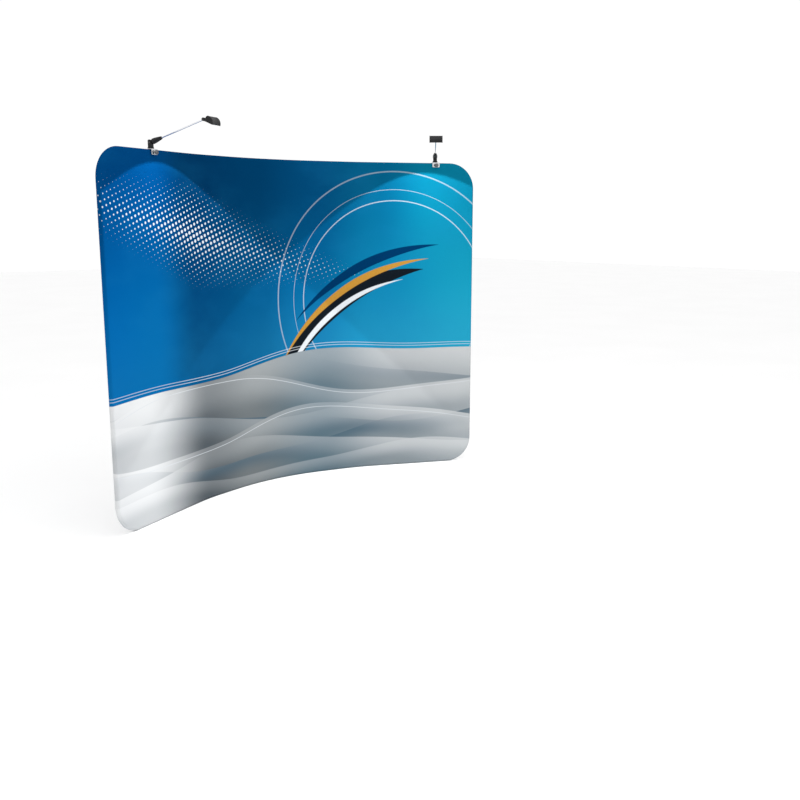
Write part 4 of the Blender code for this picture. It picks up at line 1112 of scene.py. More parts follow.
def edge_line(pitch, inset, facing, lift):
    """Points all round the display on the wrapped edge, a little inside the seam of one face."""
    radius = CLOTH_RADIUS + lift
    points = []

    def add(s, z, out, down):
        angle = seam_angle(facing, down) - inset / CLOTH_RADIUS
        reach = radius * math.sin(angle)
        place = spot(s + out * reach, z + down * reach, facing * radius * math.cos(angle))
        points.append(Vector((place.x, place.y, max(place.z, 0.0002))))

    columns = cloth_columns(pitch)
    for s, rise, out, down in columns:
        add(s, LOW_AXIS + rise, out, down)
    for z in stations(LOW_AXIS + CORNER_RADIUS, HIGH_AXIS - CORNER_RADIUS, pitch)[1:-1]:
        add(SIDE_AT, z, 1.0, 0.0)
    for s, rise, out, down in reversed(columns):
        add(s, HIGH_AXIS - rise, out, -down)
    for z in reversed(stations(LOW_AXIS + CORNER_RADIUS, HIGH_AXIS - CORNER_RADIUS, pitch)[1:-1]):
        add(-SIDE_AT, z, -1.0, 0.0)
    return points


def stitch_pattern(length):
    """One small stitch lying along X: a block with drawn-in ends."""
    half = length / 2
    obj = block((-half * 0.7, -0.00022, -0.00016), (half * 0.7, 0.00022, 0.00016))
    for way in (1.0, -1.0):
        pick(obj, "FACE", looking("x", way))
        extrude((way * half * 0.3, 0.0, 0.0))
        grow((1.0, 0.45, 0.45), (way * half, 0.0, 0.0))
    return closed(obj)


class DISPLAY_OT_stitching(bpy.types.Operator):
    """Sew the rows of stitches beside the seam and along the zip"""
    bl_idname = "display.stitching"
    bl_label = "Stitching"

    def execute(self, context):
        settings = context.scene.display_cloth
        length = settings.stitch_pitch * STITCH_SHARE
        line = edge_line(LINE_PITCH, STITCH_INSET, -1.0, STITCH_LIFT)
        obj = follow_line(stitch_pattern(length), "seam_line", line, settings.stitch_pitch, True, "MINIMUM")
        finish_piece(obj, "seam_stitches", thread(), "frame", smooth=False)
        back = -(CLOTH_RADIUS + STITCH_LIFT)
        rows = (("hem_stitches", HEM_TOP - STITCH_MARGIN), ("zip_stitches", ZIP_TOP + STITCH_MARGIN))
        for name, height in rows:
            line = [spot(s, height, back) for s in stations(-ZIP_END, ZIP_END, LINE_PITCH)]
            obj = follow_line(stitch_pattern(length), name, line, settings.stitch_pitch)
            finish_piece(obj, name, thread(), "frame", smooth=False)
        return {"FINISHED"}


class DISPLAY_OT_zip(bpy.types.Operator):
    """Make the zip's tapes, coil, stops, slider and puller"""
    bl_idname = "display.zip"
    bl_label = "Zip"

    def execute(self, context):
        settings = context.scene.display_cloth
        self.tape(settings)
        self.coil()
        self.slider()
        self.puller()
        return {"FINISHED"}

    def tape(self, settings):
        """The woven tapes that fill the gap between hem and back cloth."""
        cloth = Cloth()
        rows = []
        for s in stations(-ZIP_END + 0.0005, ZIP_END - 0.0005, settings.column_pitch):
            rows.append([cloth.point(spot(s, z, TAPE_FACE), (s, z))
                         for z in (HEM_TOP + 0.0003, ZIP_MIDDLE - 0.004, ZIP_MIDDLE, ZIP_MIDDLE + 0.004,
                                   ZIP_TOP - 0.0003)])
        for row, following in zip(rows, rows[1:]):
            cloth.strip(row, following, False)
        obj = cloth.build("zip_tapes", TAPE_THICKNESS, zip_tape(), zip_tape())
        finish_piece(obj, "zip_tapes", None, "frame", ["zip_chain"], smooth=False)
        cloth.extent()
        cloth.area()

    def coil(self):
        """The closed coil, one ridge after another along the tapes, with a stop at each end."""
        half = COIL_LENGTH / 2
        obj = block((-half, -COIL_WIDTH / 2, 0.0), (half, COIL_WIDTH / 2, COIL_BASE))
        pick(obj, "FACE", looking("z"))
        extrude((0.0, 0.0, COIL_CROWN * 0.6))
        grow((0.85, 0.80, 1.0), (0.0, 0.0, 0.0))
        extrude((0.0, 0.0, COIL_CROWN * 0.4))
        grow((0.55, 0.62, 1.0), (0.0, 0.0, 0.0))
        closed(obj)
        aimed(obj, TO_FRONT)
        line = [spot(s, ZIP_MIDDLE, TAPE_FACE) for s in stations(0.008 - ZIP_END, ZIP_END - 0.008, LINE_PITCH)]
        follow_line(obj, "coil_line", list(reversed(line)), COIL_PITCH)
        finish_piece(obj, "zip_coil", nylon(), "frame", smooth=False)
        for side, sign in zip(SIDES, (-1.0, 1.0)):
            stop = block((-0.0014, -0.0031, -0.0002), (0.0014, 0.0031, 0.0016))
            pick(stop, "FACE", looking("z"))
            bpy.ops.mesh.inset(thickness=0.0006)
            extrude((0.0, 0.0, 0.0004))
            eased(closed(stop), 0.0003)
            s = sign * (ZIP_END - 0.0045)
            turn = Matrix.Rotation(-plan(s)[2], 4, "Z") @ Matrix.Rotation(-QUARTER, 4, "X")
            aimed(stop, turn, spot(s, ZIP_MIDDLE, TAPE_FACE))
            finish_piece(stop, f"zip_stop_{side}", metal("nickel_plate"), "frame")

    def slider(self):
        """The slider: a channel over the coil, with an arch for the puller."""
        obj = block((-0.007, 0.0178, -0.0055), (0.007, 0.0208, 0.0055))
        round_edges(obj, 0.0022, 4, lambda a, b: along("y", a, b))
        recess(obj, looking("y"), 0.0010, (0.0, 0.0003, 0.0))
        bored(closed(obj), done(block((-0.02, 0.0, -0.0029), (0.02, 0.0194, 0.0029))))
        arch = block((-0.003, 0.0204, -0.0013), (0.003, 0.0244, 0.0013))
        round_edges(arch, 0.0014, 4, lambda a, b: along("z", a, b) and a.y > 0.024)
        bored(closed(arch), done(block((-0.0019, 0.0190, -0.006), (0.0019, 0.0232, 0.006))))
        eased(fused(obj, arch), 0.00018)
        aimed(obj, Matrix.Rotation(-plan(SLIDER_AT)[2], 4, "Z"), spot(SLIDER_AT, ZIP_MIDDLE))
        finish_piece(obj, "zip_slider_body", metal("nickel_plate"), "zip_slider", ["zip_slider"])

    def puller(self):
        """The flat puller with its slot, a grip opening and a rounded end."""
        obj = block((-0.00065, -0.00065, -0.0044), (0.0334, 0.00065, 0.0044))
        round_edges(obj, 0.0038, 6, lambda a, b: along("y", a, b) and a.x > 0.02)
        round_edges(obj, 0.0008, 3, lambda a, b: along("y", a, b) and a.x < 0.01)
        closed(obj)
        slot = done(block((0.00065, -0.01, -0.0018), (0.0043, 0.01, 0.0018)))
        grip = block((0.0153, -0.01, -0.0012), (0.0272, 0.01, 0.0012))
        round_edges(grip, 0.00115, 5, lambda a, b: along("y", a, b))
        eased(bored(obj, slot, closed(grip)), 0.00022)
        turn = -plan(SLIDER_AT)[2] + math.pi
        aimed(obj, Matrix.Rotation(turn, 4, "Z"), Vector(JOINTS["zip_puller_swing"]["pos_m"]))
        finish_piece(obj, "zip_puller_tab", metal("nickel_plate"), "zip_puller", ["zip_puller"])


# Lamps

def frame_of(origin, across, back):
    """A lamp part's own frame: X across, Y to the back, Z up from both."""
    across = across.normalized()
    back = (back - back.dot(across) * across).normalized()
    rise = across.cross(back)
    turn = Matrix((across, back, rise)).transposed().to_4x4()
    return Matrix.Translation(origin) @ turn


def lamp_places():
    """The frames of each lamp's clamp, swivel base, arm and head, from the model's own joints."""
    places = {"clamp": {}, "base": {}, "arm": {}, "head": {}}
    for side in SIDES:
        rail = Vector(JOINTS[f"{side}_swivel"]["pos_m"])
        front = Vector(JOINTS[f"{side}_clamp_travel"]["axis"])
        elbow = Vector(JOINTS[f"{side}_elbow"]["pos_m"])
        across = -Vector(JOINTS[f"{side}_elbow"]["axis"])
        pin = Vector(JOINTS[f"{side}_head_tilt"]["pos_m"])
        ahead = UP.cross(across) * -1.0
        slope = math.radians(HEAD_SLOPES[side])
        heading = ahead * math.cos(slope) - UP * math.sin(slope)
        places["clamp"][side] = frame_of(rail, (-front).cross(UP), -front)
        places["base"][side] = frame_of(rail, across, -ahead)
        places["arm"][side] = frame_of(elbow, across, elbow - pin)
        places["head"][side] = frame_of(pin, across, -heading)
    return places


class DISPLAY_OT_clamps(bpy.types.Operator):
    """Make the brackets over the top rail, their pads, screws and knobs"""
    bl_idname = "display.clamps"
    bl_label = "Clamps"

    def execute(self, context):
        places = lamp_places()["clamp"]
        grey = metal("grey_knob")
        both_sides(self.bracket(), "hook", places, "frame", metal("brushed_bracket"), "bracket")
        both_sides(self.pad(), "rail_pad", places, "{}_clamp_pad", pad_rubber(), "clamp_pad")
        both_sides(self.screw(), "knob_screw", places, "{}_clamp_screw", grey, "clamp_screw")
        return {"FINISHED"}

    def bracket(self):
        """A strip bent over the rail: its plate, and a leg in front and behind."""
        half = BRACKET_WIDTH / 2
        back = PLATE_LOW + BRACKET_WALL
        ahead = BRACKET_FRONT + BRACKET_WALL
        obj = block((-half, -ahead, PLATE_LOW), (half, back, PLATE_TOP))
        for cut in (PLATE_LOW, -BRACKET_FRONT):
            bpy.ops.mesh.select_all(action="SELECT")
            bpy.ops.mesh.bisect(plane_co=(0.0, cut, 0.0), plane_no=(0.0, 1.0, 0.0))
        pick(obj, "FACE", lambda centre, normal: normal.z < -0.9
             and (centre.y > PLATE_LOW or centre.y < -BRACKET_FRONT))
        extrude((0.0, 0.0, -BRACKET_DROP - PLATE_LOW))
        round_edges(obj, 0.0024, 5, lambda a, b: abs(a.y - b.y) < NEAR and min(a.z, b.z) > PLATE_TOP - NEAR
                    and (a.y > back - NEAR or a.y < NEAR - ahead))
        round_edges(obj, 0.006, 6, lambda a, b: along("y", a, b) and a.z < NEAR - BRACKET_DROP)
        closed(obj)
        screw_hole = aimed(rod(SCREW_HOLE, CLOTH_RADIUS, ahead + BRACKET_WALL), TO_FRONT)
        bored(obj, screw_hole, rod(SPINDLE_HOLE, 0.0, PLATE_TOP + BRACKET_WALL))
        return eased(obj, 0.0003)

    def pad(self):
        """The rubber foot on the screw, ribbed where it meets the cloth."""
        rib = PAD_FACE + 0.0003
        profile = [(0.0012, rib), (0.0022, rib), (0.0026, PAD_FACE), (0.0040, PAD_FACE), (0.0044, rib),
                   (0.0052, rib), (0.0056, PAD_FACE), (0.0066, PAD_FACE + 0.0001), (0.0070, PAD_FACE + 0.0006),
                   (0.0070, PAD_BACK - 0.0009), (0.0062, PAD_BACK - 0.0002), (0.0040, PAD_BACK)]
        return aimed(turned(profile, 40), TO_FRONT)

    def screw(self):
        """The threaded screw with a six-lobed knob."""
        start = PAD_BACK + 0.0003
        profile = [(0.0017, start), (0.0021, start + 0.0004)]
        height = start + 0.0007
        while height < KNOB_START - 0.0014:
            profile += [(0.0021, height), (0.0025, height + 0.0004), (0.0025, height + 0.0006)]
            height += 0.0010
        profile += [(0.0021, height), (0.0021, KNOB_START + 0.002)]
        shaft = turned(profile, 24)
        knob = turned([(0.0050, KNOB_START - 0.0006), (0.0064, KNOB_START - 0.0006), (0.0072, KNOB_START),
                       (KNOB_RADIUS - 0.0022, KNOB_START + 0.0002),
                       (KNOB_RADIUS - 0.0006, KNOB_START + 0.0012), (KNOB_RADIUS, KNOB_START + 0.0028),
                       (KNOB_RADIUS, KNOB_END - 0.0028), (KNOB_RADIUS - 0.0007, KNOB_END - 0.0012),
                       (KNOB_RADIUS - 0.0024, KNOB_END),
                       (0.0092, KNOB_END), (0.0084, KNOB_END - 0.0007), (0.0030, KNOB_END - 0.0007)], 72)
        only(knob)
        bpy.ops.object.mode_set(mode="EDIT")
        for step in range(1, LOBE_STEPS + 1):
            drawn_in = 1 - LOBE_DEPTH * (1 - math.cos(math.pi * step / LOBE_STEPS)) / 2
            near = step * LOBE_ANGLE / 2 / LOBE_STEPS

            def in_valley(place):
                angle = math.degrees(math.atan2(place.y, place.x)) % LOBE_ANGLE
                return place.xy.length > 0.0095 and abs(min(angle, LOBE_ANGLE - angle) - near) < 0.5

            pick(knob, "VERT", in_valley)
            grow((drawn_in, drawn_in, 1.0), (0.0, 0.0, 0.0))
        done(knob)
        return aimed(fused(knob, shaft), TO_FRONT)


class DISPLAY_OT_knuckles(bpy.types.Operator):
    """Make the swivel knuckles, their cord inlets and elbow pins"""
    bl_idname = "display.knuckles"
    bl_label = "Knuckles"

    def execute(self, context):
        places = lamp_places()["base"]
        both_sides(self.knuckle(), "swivel_knuckle", places, "{}_base", lamp_black(), "knuckle")
        both_sides(self.inlet(), "cord_inlet", places, "{}_base", pad_rubber())
        pin = aimed(rivet(0.0030, 0.0050, CHEEK_OUTER + 0.0004, 0.0020), ALONG_X, (0.0, 0.0, ELBOW_HEIGHT))
        both_sides(pin, "elbow_rivet", places, "{}_base", metal("dark_steel"), "elbow_pin")
        return {"FINISHED"}

    def knuckle(self):
        """A stepped disc on a spindle, with two round-topped cheeks."""
        disc = turned([(0.0036, PLATE_LOW + 0.0004), (0.0040, PLATE_LOW + 0.0008), (0.0040, KNUCKLE_LOW),
                       (0.0182, KNUCKLE_LOW), (KNUCKLE_RADIUS, KNUCKLE_LOW + 0.0006),
                       (KNUCKLE_RADIUS, KNUCKLE_LOW + 0.0030),
                       (0.0184, KNUCKLE_LOW + 0.0034), (0.0184, KNUCKLE_LOW + 0.0040),
                       (KNUCKLE_RADIUS, KNUCKLE_LOW + 0.0044), (KNUCKLE_RADIUS, KNUCKLE_TOP - 0.0016),
                       (0.0186, KNUCKLE_TOP - 0.0006), (0.0176, KNUCKLE_TOP)], 56)
        lip = ELBOW_HEIGHT - SLOT_FLOOR
        post = done(block((-CHEEK_OUTER + 0.0002, -0.0168, KNUCKLE_TOP - 0.002),
                          (CHEEK_OUTER - 0.0002, 0.0168, lip)))
        bored(post, cross_bore(ELBOW_RADIUS + 0.0006, ELBOW_HEIGHT, segments=64))
        fused(post, self.cheek(-1.0), self.cheek(1.0))
        top = ELBOW_HEIGHT + 2 * ELBOW_RADIUS
        outside = bored(rod(2 * KNUCKLE_RADIUS, 0.0, top, 64), rod(POST_RADIUS, -0.01, top + 0.01, 64))
        fused(disc, bored(post, outside))
        inlet = aimed(rod(0.0044, -0.026, -0.0165), TO_FRONT, (0.0, 0.0, INLET_HEIGHT))
        bored(disc, cross_bore(ELBOW_PIN_HOLE, ELBOW_HEIGHT), inlet)
        return eased(disc, 0.0007)

    def cheek(self, sign):
        """A disc whose lower half runs straight down into the base."""
        middle = (CHEEK_INNER + CHEEK_OUTER) / 2
        obj = drum(ELBOW_RADIUS, CHEEK_OUTER - CHEEK_INNER, (sign * middle, 0.0, ELBOW_HEIGHT))
        pick(obj, "FACE", lambda centre, normal: normal.z < -0.01 and abs(normal.x) < 0.1)
        extrude((0.0, 0.0, KNUCKLE_TOP - 0.0016 - ELBOW_HEIGHT))
        grow((1.0, 1.0, 0.0), (0.0, 0.0, KNUCKLE_TOP - 0.0016))
        return closed(obj)

    def inlet(self):
        """The rubber ring that a cord would enter by."""
        ring = turned([(0.0030, 0.0166), (0.0040, 0.0166), (0.0040, 0.0188), (0.0046, 0.0190),
                       (0.0047, 0.0196), (0.0044, 0.0204), (0.0038, 0.0208), (0.0032, 0.0204)], 32)
        ring = bored(ring, rod(0.0022, 0.0172, 0.0230, 24))
        return aimed(ring, Matrix.Rotation(-QUARTER, 4, "X"), (0.0, 0.0, INLET_HEIGHT))


def rivet(radius, head_radius, grip, head):
    """A domed rivet along Z, with a head at both ends."""
    end = grip + head
    side = [(head_radius * 0.45, -end), (head_radius * 0.80, -end + head * 0.2),
            (head_radius, -end + head * 0.65), (head_radius, -grip), (radius, -grip)]
    return turned(side + [(r, -h) for r, h in reversed(side)], 36)


class DISPLAY_OT_arms(bpy.types.Operator):
    """Make the arms: tapered sleeves, bright rods and the pins that carry the heads"""
    bl_idname = "display.arms"
    bl_label = "Arms"

    def execute(self, context):
        places = lamp_places()["arm"]
        both_sides(self.sleeve(), "sleeve", places, "{}_arm", lamp_black(), "arm_sleeve")
        both_sides(self.bright_rod(), "bright_rod", places, "{}_arm", chrome(), "arm_rod")
        pin = aimed(rivet(0.0022, 0.0038, EAR_OUTER + 0.0004, 0.0016), ALONG_X, (0.0, -ARM_LENGTH, 0.0))
        both_sides(pin, "head_rivet", places, "{}_arm", metal("dark_steel"), "head_pin")
        return {"FINISHED"}

    def sleeve(self):
        """The tapered sleeve with grip rings at its narrow end, and its tongue between the cheeks."""
        profile = [(0.0120, SLEEVE_START), (0.0150, SLEEVE_START + 0.0002), (0.0166, SLEEVE_START + 0.0012),
                   (SLEEVE_WIDE, SLEEVE_START + 0.0030)]

        def width(reach):
            if reach < SLEEVE_BELLY_AT:
                fuller = (SLEEVE_BELLY - SLEEVE_WIDE) * (reach - SLEEVE_START)
                return SLEEVE_WIDE + fuller / (SLEEVE_BELLY_AT - SLEEVE_START)
            share = (reach - SLEEVE_BELLY_AT) / (SLEEVE_END - SLEEVE_BELLY_AT)
            return SLEEVE_BELLY + (SLEEVE_NARROW - SLEEVE_BELLY) * (share + 0.22 * share * (share - 1))

        for step in range(1, 9):
            reach = SLEEVE_START + 0.003 + step * 0.0058
            profile.append((width(reach), reach))
        for ring in range(4):
            reach = SLEEVE_END - 0.0148 + ring * 0.0030
            wide, waist = width(reach), width(reach) - 0.0006
            profile += [(wide, reach), (waist, reach + 0.0004), (waist, reach + 0.0010),
                        (wide, reach + 0.0014)]
        profile += [(SLEEVE_NARROW + 0.0003, SLEEVE_END - 0.0018), (SLEEVE_NARROW, SLEEVE_END - 0.0006),
                    (SLEEVE_NARROW - 0.0008, SLEEVE_END), (0.0062, SLEEVE_END)]
        body = aimed(turned(profile, 48), TO_FRONT)
        tongue = drum(ELBOW_RADIUS - 0.0003, 2 * TONGUE_HALF, (0.0, 0.0, 0.0))
        pick(tongue, "FACE", lambda centre, normal: normal.y < -0.80 and abs(normal.x) < 0.1)
        extrude((0.0, -0.010, 0.0))
        fused(body, closed(tongue))
        socket = aimed(rod(ROD_RADIUS + 0.0004, 0.0597, 0.11), TO_FRONT)
        return eased(bored(body, cross_bore(ELBOW_PIN_HOLE), socket), 0.0004)

    def bright_rod(self):
        """The plated rod with the eye that carries the head."""
        profile = [(ROD_RADIUS - 0.0004, 0.0600), (ROD_RADIUS, 0.0604), (ROD_RADIUS, 0.16), (ROD_RADIUS, 0.26),
                   (ROD_RADIUS, ARM_LENGTH - 0.012), (COLLAR_RADIUS, ARM_LENGTH - 0.010),
                   (COLLAR_RADIUS, ARM_LENGTH - 0.0045)]
        body = aimed(turned(profile, 40), TO_FRONT)
        eye = drum(0.0065, 0.010, (0.0, -ARM_LENGTH, 0.0), 40)
        pick(eye, "FACE", lambda centre, normal: abs(normal.x) > 0.9)
        bpy.ops.mesh.inset(thickness=0.0010, use_individual=True)
        grow((1.0, 0.92, 0.92), (0.0, -ARM_LENGTH, 0.0))
        fused(body, closed(eye))
        return eased(bored(body, cross_bore(HEAD_PIN_HOLE, back=-ARM_LENGTH)), 0.0003)


def head_section(inset):
    """The head's side outline as (reach, height), smooth over the top; the underside closes it."""
    length = HEAD_LENGTH - 2 * inset
    depth = HEAD_DEPTH - 2 * inset
    points = [(0.0, 0.0), (0.0, 0.30)]
    shares = [HEAD_TOP_SHARES[0], *HEAD_TOP_SHARES, HEAD_TOP_SHARES[-1]]
    for before, first, second, after in zip(shares, shares[1:], shares[2:], shares[3:]):
        for step in range(HEAD_STEPS):
            t = step / HEAD_STEPS
            points.append(tuple(
                0.5 * (2 * first[i] + (second[i] - before[i]) * t
                       + (2 * before[i] - 5 * first[i] + 4 * second[i] - after[i]) * t * t
                       + (3 * first[i] - before[i] - 3 * second[i] + after[i]) * t * t * t) for i in (0, 1)))
    points.append((1.0, 0.0))
    return [(HEAD_SETBACK + inset + length * a, inset - HEAD_LIFT + depth * b) for a, b in points]


def swept(section, low, high):
    """A body with a side section of (reach, height), from low to high across; made by extruding one edge."""
    reach, height = section[0]
    centre = ((low + high) / 2, -reach, height - 0.5)
    obj = begin(bpy.ops.mesh.primitive_plane_add, size=1.0, location=centre)
    grow((high - low, 1.0, 1.0), centre)
    pick(obj, "VERT", lambda place: place.y > -reach)
    bpy.ops.mesh.delete(type="VERT")
    bpy.ops.mesh.select_all(action="SELECT")
    bpy.ops.transform.translate(value=(0.0, 0.5, 0.5))
    bpy.ops.mesh.select_mode(type="EDGE")
    bpy.ops.mesh.select_all(action="SELECT")
    for (reach, height), (onward, higher) in zip(section, section[1:] + section[:1]):
        extrude((0.0, reach - onward, higher - height))
    bpy.ops.mesh.select_mode(type="VERT")
    bpy.ops.mesh.select_all(action="SELECT")
    bpy.ops.mesh.remove_doubles(threshold=0.000002)
    for side in (low, high):
        pick(obj, "EDGE", lambda a, b: abs(a.x - side) < 0.000001 and abs(b.x - side) < 0.000001)
        bpy.ops.mesh.edge_face_add()
    return closed(obj)


class DISPLAY_OT_heads(bpy.types.Operator):
    """Make the lamp heads: housings with end caps, boards, lenses and their light"""
    bl_idname = "display.heads"
    bl_label = "Lamp heads"

    def execute(self, context):
        places = lamp_places()["head"]
        both_sides(self.housing(), "housing", places, "{}_head", lamp_black(), "head_housing")
        both_sides(self.board(), "lamp_board", places, "{}_head", board_white(), "led_board")
        both_sides(self.emitters(), "emitters", places, "{}_head", emitter_glow())
        both_sides(self.lens(), "diffuser", places, "{}_head", frosted_lens(), "lens")
        self.beams(context, places)
        return {"FINISHED"}

    def housing(self):
        """The curved shell with cooling grooves and raised end caps, hollow from below, with a forked neck."""
        half = HEAD_WIDTH / 2
        shell = swept(head_section(0.0008), -half + 0.004, half - 0.004)
        for sign in (-1.0, 1.0):
            fused(shell, swept(head_section(0.0), *sorted((sign * half, sign * (half - CAP_WIDTH)))))
        for groove in range(GROOVES):
            reach = HEAD_SETBACK + 0.009 + groove * GROOVE_PITCH
            floor = HEAD_DEPTH - HEAD_LIFT - 0.0055 - groove * 0.0004
            bored(shell, done(block((-half + 0.012, -reach - GROOVE_HALF, floor),
                                    (half - 0.012, -reach + GROOVE_HALF, HEAD_DEPTH + 0.02))))
        eased(shell, 0.0005)
        hollow = swept(head_section(HEAD_WALL + 0.0006), -half + HEAD_WALL, half - HEAD_WALL)
        mouth = done(block((-LENS_HALF, -LENS_FIRST - LENS_LENGTH, -HEAD_LIFT - 0.01),
                           (LENS_HALF, -LENS_FIRST, HEAD_WALL + 0.004 - HEAD_LIFT)))
        bored(shell, hollow, mouth)
        root = HEAD_SETBACK + 0.0022
        neck = swept([(0.0, -EAR_RADIUS), (root, -HEAD_LIFT), (root, NECK_TOP), (0.0, EAR_RADIUS)],
                     -EAR_OUTER, EAR_OUTER)
        fused(neck, aimed(rod(EAR_RADIUS, -EAR_OUTER, EAR_OUTER, 48), ALONG_X))
        slot = done(block((-EAR_INNER, -NECK_START, -BORE_REACH), (EAR_INNER, BORE_REACH, BORE_REACH)))
        return fused(shell, eased(bored(neck, slot, cross_bore(HEAD_PIN_HOLE)), 0.0005))

    def board(self):
        """The board that the emitters sit on, with a raised rim."""
        half = LENS_HALF - LENS_GAP
        obj = block((-half, -HEAD_SETBACK - 0.048, BOARD_LOW),
                    (half, -LENS_FIRST - 0.0016, BOARD_LOW + 0.0016))
        recess(obj, looking("z", -1.0), 0.0012, (0.0, 0.0, 0.0003))
        return eased(closed(obj), 0.0002)

    def emitters(self):
        """Eight small light emitters, each a square body with a dome."""
        first = block((-0.0025, -0.0025, -0.0008), (0.0025, 0.0025, 0.0))
        pick(first, "FACE", looking("z", -1.0))
        for margin, rise in ((0.0006, 0.0003), (0.0005, 0.0001)):
            bpy.ops.mesh.inset(thickness=margin)
            extrude((0.0, 0.0, -rise))
        eased(closed(first), 0.0001)
        repeated(first, 4, (EMITTER_PITCH[0], 0.0, 0.0))
        repeated(first, 2, (0.0, -EMITTER_PITCH[1], 0.0))
        return aimed(first, Matrix.Identity(4), (-0.0315, -HEAD_SETBACK - 0.019, BOARD_LOW + 0.0002))

    def lens(self):
        """The diffuser in the housing's mouth, its edge stepped to sit in it."""
        low = 0.0006 - HEAD_LIFT
        obj = block((-LENS_HALF + LENS_GAP, -LENS_FIRST - LENS_LENGTH + LENS_GAP, low),
                    (LENS_HALF - LENS_GAP, -LENS_FIRST - LENS_GAP, low + 0.002))
        round_edges(obj, 0.0012, 4, lambda a, b: along("z", a, b))
        recess(obj, looking("z", -1.0), 0.0012, (0.0, 0.0, -0.0003))
        return eased(closed(obj), 0.0002)

    def beams(self, context, places):
        """One soft-edged beam from each head, which follows the head as it moves."""
        settings = context.scene.display_lamps
        for side, beam in (("left", settings.left_beam), ("right", settings.right_beam)):
            light = bpy.data.lights.new(f"{side}_beam", "SPOT")
            light.energy = settings.light_strength
            light.spot_size = beam
            light.spot_blend = BEAM_BLEND
            light.shadow_soft_size = 0.012
            light.use_nodes = True
            tree = light.node_tree
            falloff = tree.nodes.new("ShaderNodeLightFalloff")
            falloff.inputs["Strength"].default_value = 1.0
            tree.links.new(falloff.outputs["Linear"], tree.nodes["Emission"].inputs["Strength"])
            obj = bpy.data.objects.new(f"{side}_beam", light)
            context.scene.collection.objects.link(obj)
            middle = Matrix.Translation((0.0, -HEAD_SETBACK - HEAD_LENGTH / 2, -HEAD_LIFT - 0.004))
            obj.matrix_world = places[side] @ middle @ Matrix.Rotation(-math.radians(BEAM_CASTS[side]), 4, "X")
            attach(obj, f"{side}_head")


# Carried-over nodes and the stage

class DISPLAY_OT_frame_finishes(bpy.types.Operator):
    """Give the frame's tubes, posts, saddles and snap buttons their finishes"""
    bl_idname = "display.frame_finishes"
    bl_label = "Frame finishes"

    def execute(self, context):
        slots = {entry["node"]: entry["material_slot"] for entry in frame["record"]["subparts"]}
        finishes = {
            "tube": metal("satin_aluminium"), "saddle": saddle_plastic(), "button": metal("spring_steel"),
            "print": printed_cloth(), "backing": plain_cloth(), "zip_nylon": nylon(),
            "zip_metal": metal("nickel_plate"), "bracket": metal("brushed_bracket"), "pad": pad_rubber(),
            "lamp_black": lamp_black(), "pin": metal("dark_steel"), "rod": chrome(),
            "board": board_white(), "lens": frosted_lens()}
        for name, node in frame["nodes"].items():
            for material_slot in node.material_slots:
                material_slot.material = finishes[slots[name]]
        return {"FINISHED"}


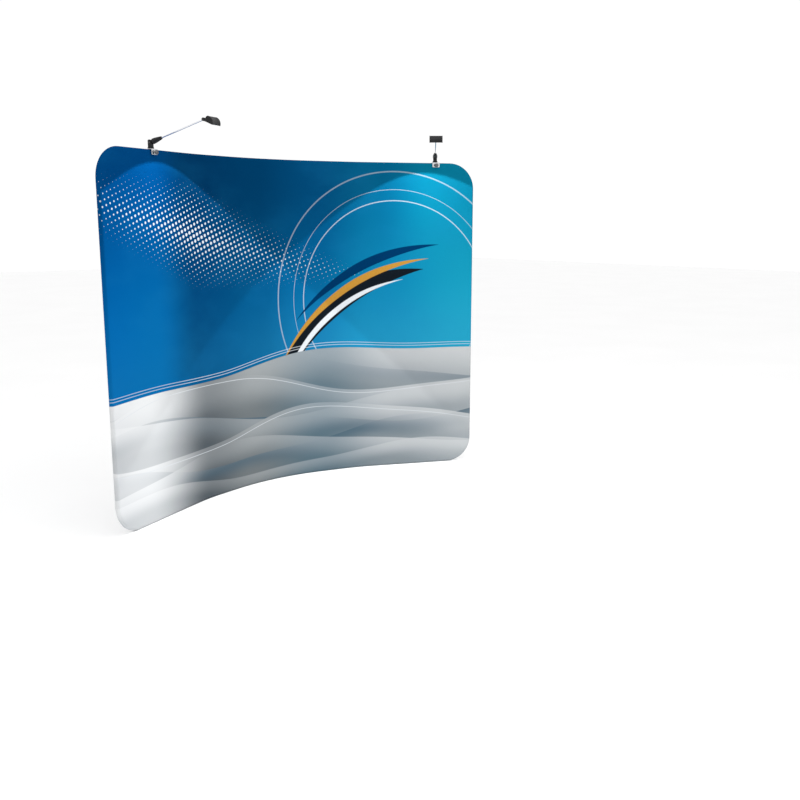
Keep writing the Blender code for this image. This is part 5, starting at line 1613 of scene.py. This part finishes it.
class DISPLAY_OT_stage(bpy.types.Operator):
    """Set up the floor, the soft lights and the camera"""
    bl_idname = "display.stage"
    bl_label = "Stage"

    def execute(self, context):
        self.floor()
        self.lights(context)
        self.camera(context)
        context.scene.view_settings.view_transform = "Standard"
        return {"FINISHED"}

    def floor(self):
        """A plain pale floor."""
        obj = begin(bpy.ops.mesh.primitive_plane_add, size=60.0, location=(0.0, 0.0, 0.0))
        bpy.ops.mesh.subdivide(number_cuts=4)
        done(obj)
        obj.name = "floor"
        paint = Finish("pale_floor", Roughness=0.75)
        clouds = paint.noise(0.9, 3.0)
        paint.set("Base Color", paint.mix(clouds.step(0.3, 0.7), (0.94, 0.94, 0.94), (0.955, 0.955, 0.955)))
        paint.bump(paint.noise(40.0, 2.0), 0.0002)
        obj.data.materials.append(paint.material)

    def lights(self, context):
        """A near-white surround with two broad soft lights."""
        world = bpy.data.worlds.new("surround")
        world.use_nodes = True
        background = world.node_tree.nodes["Background"]
        background.inputs["Color"].default_value = (1.0, 1.0, 1.0, 1.0)
        background.inputs["Strength"].default_value = 1.02
        context.scene.world = world
        for name, place, size, power, colour in (
                ("key_light", (4.2, -4.6, 4.4), 3.0, 25.0, (1.0, 0.99, 0.97)),
                ("top_light", (-0.5, -2.4, 6.0), 5.0, 60.0, (0.98, 0.99, 1.0))):
            light = bpy.data.lights.new(name, "AREA")
            light.shape = "DISK"
            light.size = size
            light.energy = power
            light.color = colour
            obj = bpy.data.objects.new(name, light)
            context.scene.collection.objects.link(obj)
            obj.location = place
            aim = Vector((0.0, 0.0, 1.1)) - Vector(place)
            obj.rotation_euler = aim.to_track_quat("-Z", "Y").to_euler()

    def camera(self, context):
        """The camera, in front of the display's left end and a little above eye level."""
        lens = bpy.data.cameras.new("camera")
        lens.sensor_width = 36.0
        lens.sensor_fit = "AUTO"
        lens.lens = CAMERA_LENS
        lens.dof.use_dof = False
        obj = bpy.data.objects.new("camera", lens)
        context.scene.collection.objects.link(obj)
        obj.location = MIDDLE + Vector(CAMERA_PLACE)
        level = math.cos(CAMERA_PITCH)
        heading = Vector((-math.sin(CAMERA_YAW) * level, math.cos(CAMERA_YAW) * level, math.sin(CAMERA_PITCH)))
        obj.rotation_euler = heading.to_track_quat("-Z", "Y").to_euler()
        context.scene.camera = obj


OPERATORS = (DISPLAY_OT_frame_finishes, DISPLAY_OT_printed_front, DISPLAY_OT_plain_back, DISPLAY_OT_zip,
             DISPLAY_OT_stitching, DISPLAY_OT_clamps, DISPLAY_OT_knuckles, DISPLAY_OT_arms, DISPLAY_OT_heads,
             DISPLAY_OT_stage)


class DISPLAY_PT_sidebar(bpy.types.Panel):
    """Lists the display's settings and the steps that build it"""
    bl_idname = "DISPLAY_PT_sidebar"
    bl_label = "Curved display"
    bl_space_type = "VIEW_3D"
    bl_region_type = "UI"
    bl_category = "Display"

    def draw(self, context):
        for group in (context.scene.display_cloth, context.scene.display_print, context.scene.display_lamps):
            box = self.layout.box()
            for name in group.bl_rna.properties.keys():
                if name not in ("rna_type", "name"):
                    box.prop(group, name)
        for operator in OPERATORS:
            self.layout.operator(operator.bl_idname)


CLASSES = (ClothSettings, PrintSettings, LampSettings) + OPERATORS + (DISPLAY_PT_sidebar,)


def register():
    """Registers every class and hangs the settings on the scene."""
    for cls in CLASSES:
        bpy.utils.register_class(cls)
    bpy.types.Scene.display_cloth = bpy.props.PointerProperty(type=ClothSettings)
    bpy.types.Scene.display_print = bpy.props.PointerProperty(type=PrintSettings)
    bpy.types.Scene.display_lamps = bpy.props.PointerProperty(type=LampSettings)


def unregister():
    """Takes the settings and classes away again."""
    del bpy.types.Scene.display_lamps
    del bpy.types.Scene.display_print
    del bpy.types.Scene.display_cloth
    for cls in reversed(CLASSES):
        bpy.utils.unregister_class(cls)


def main():
    """Builds the whole display."""
    register()
    for operator in OPERATORS:
        group, name = operator.bl_idname.split(".")
        getattr(getattr(bpy.ops, group), name)()


if __name__ == "__main__":
    main()
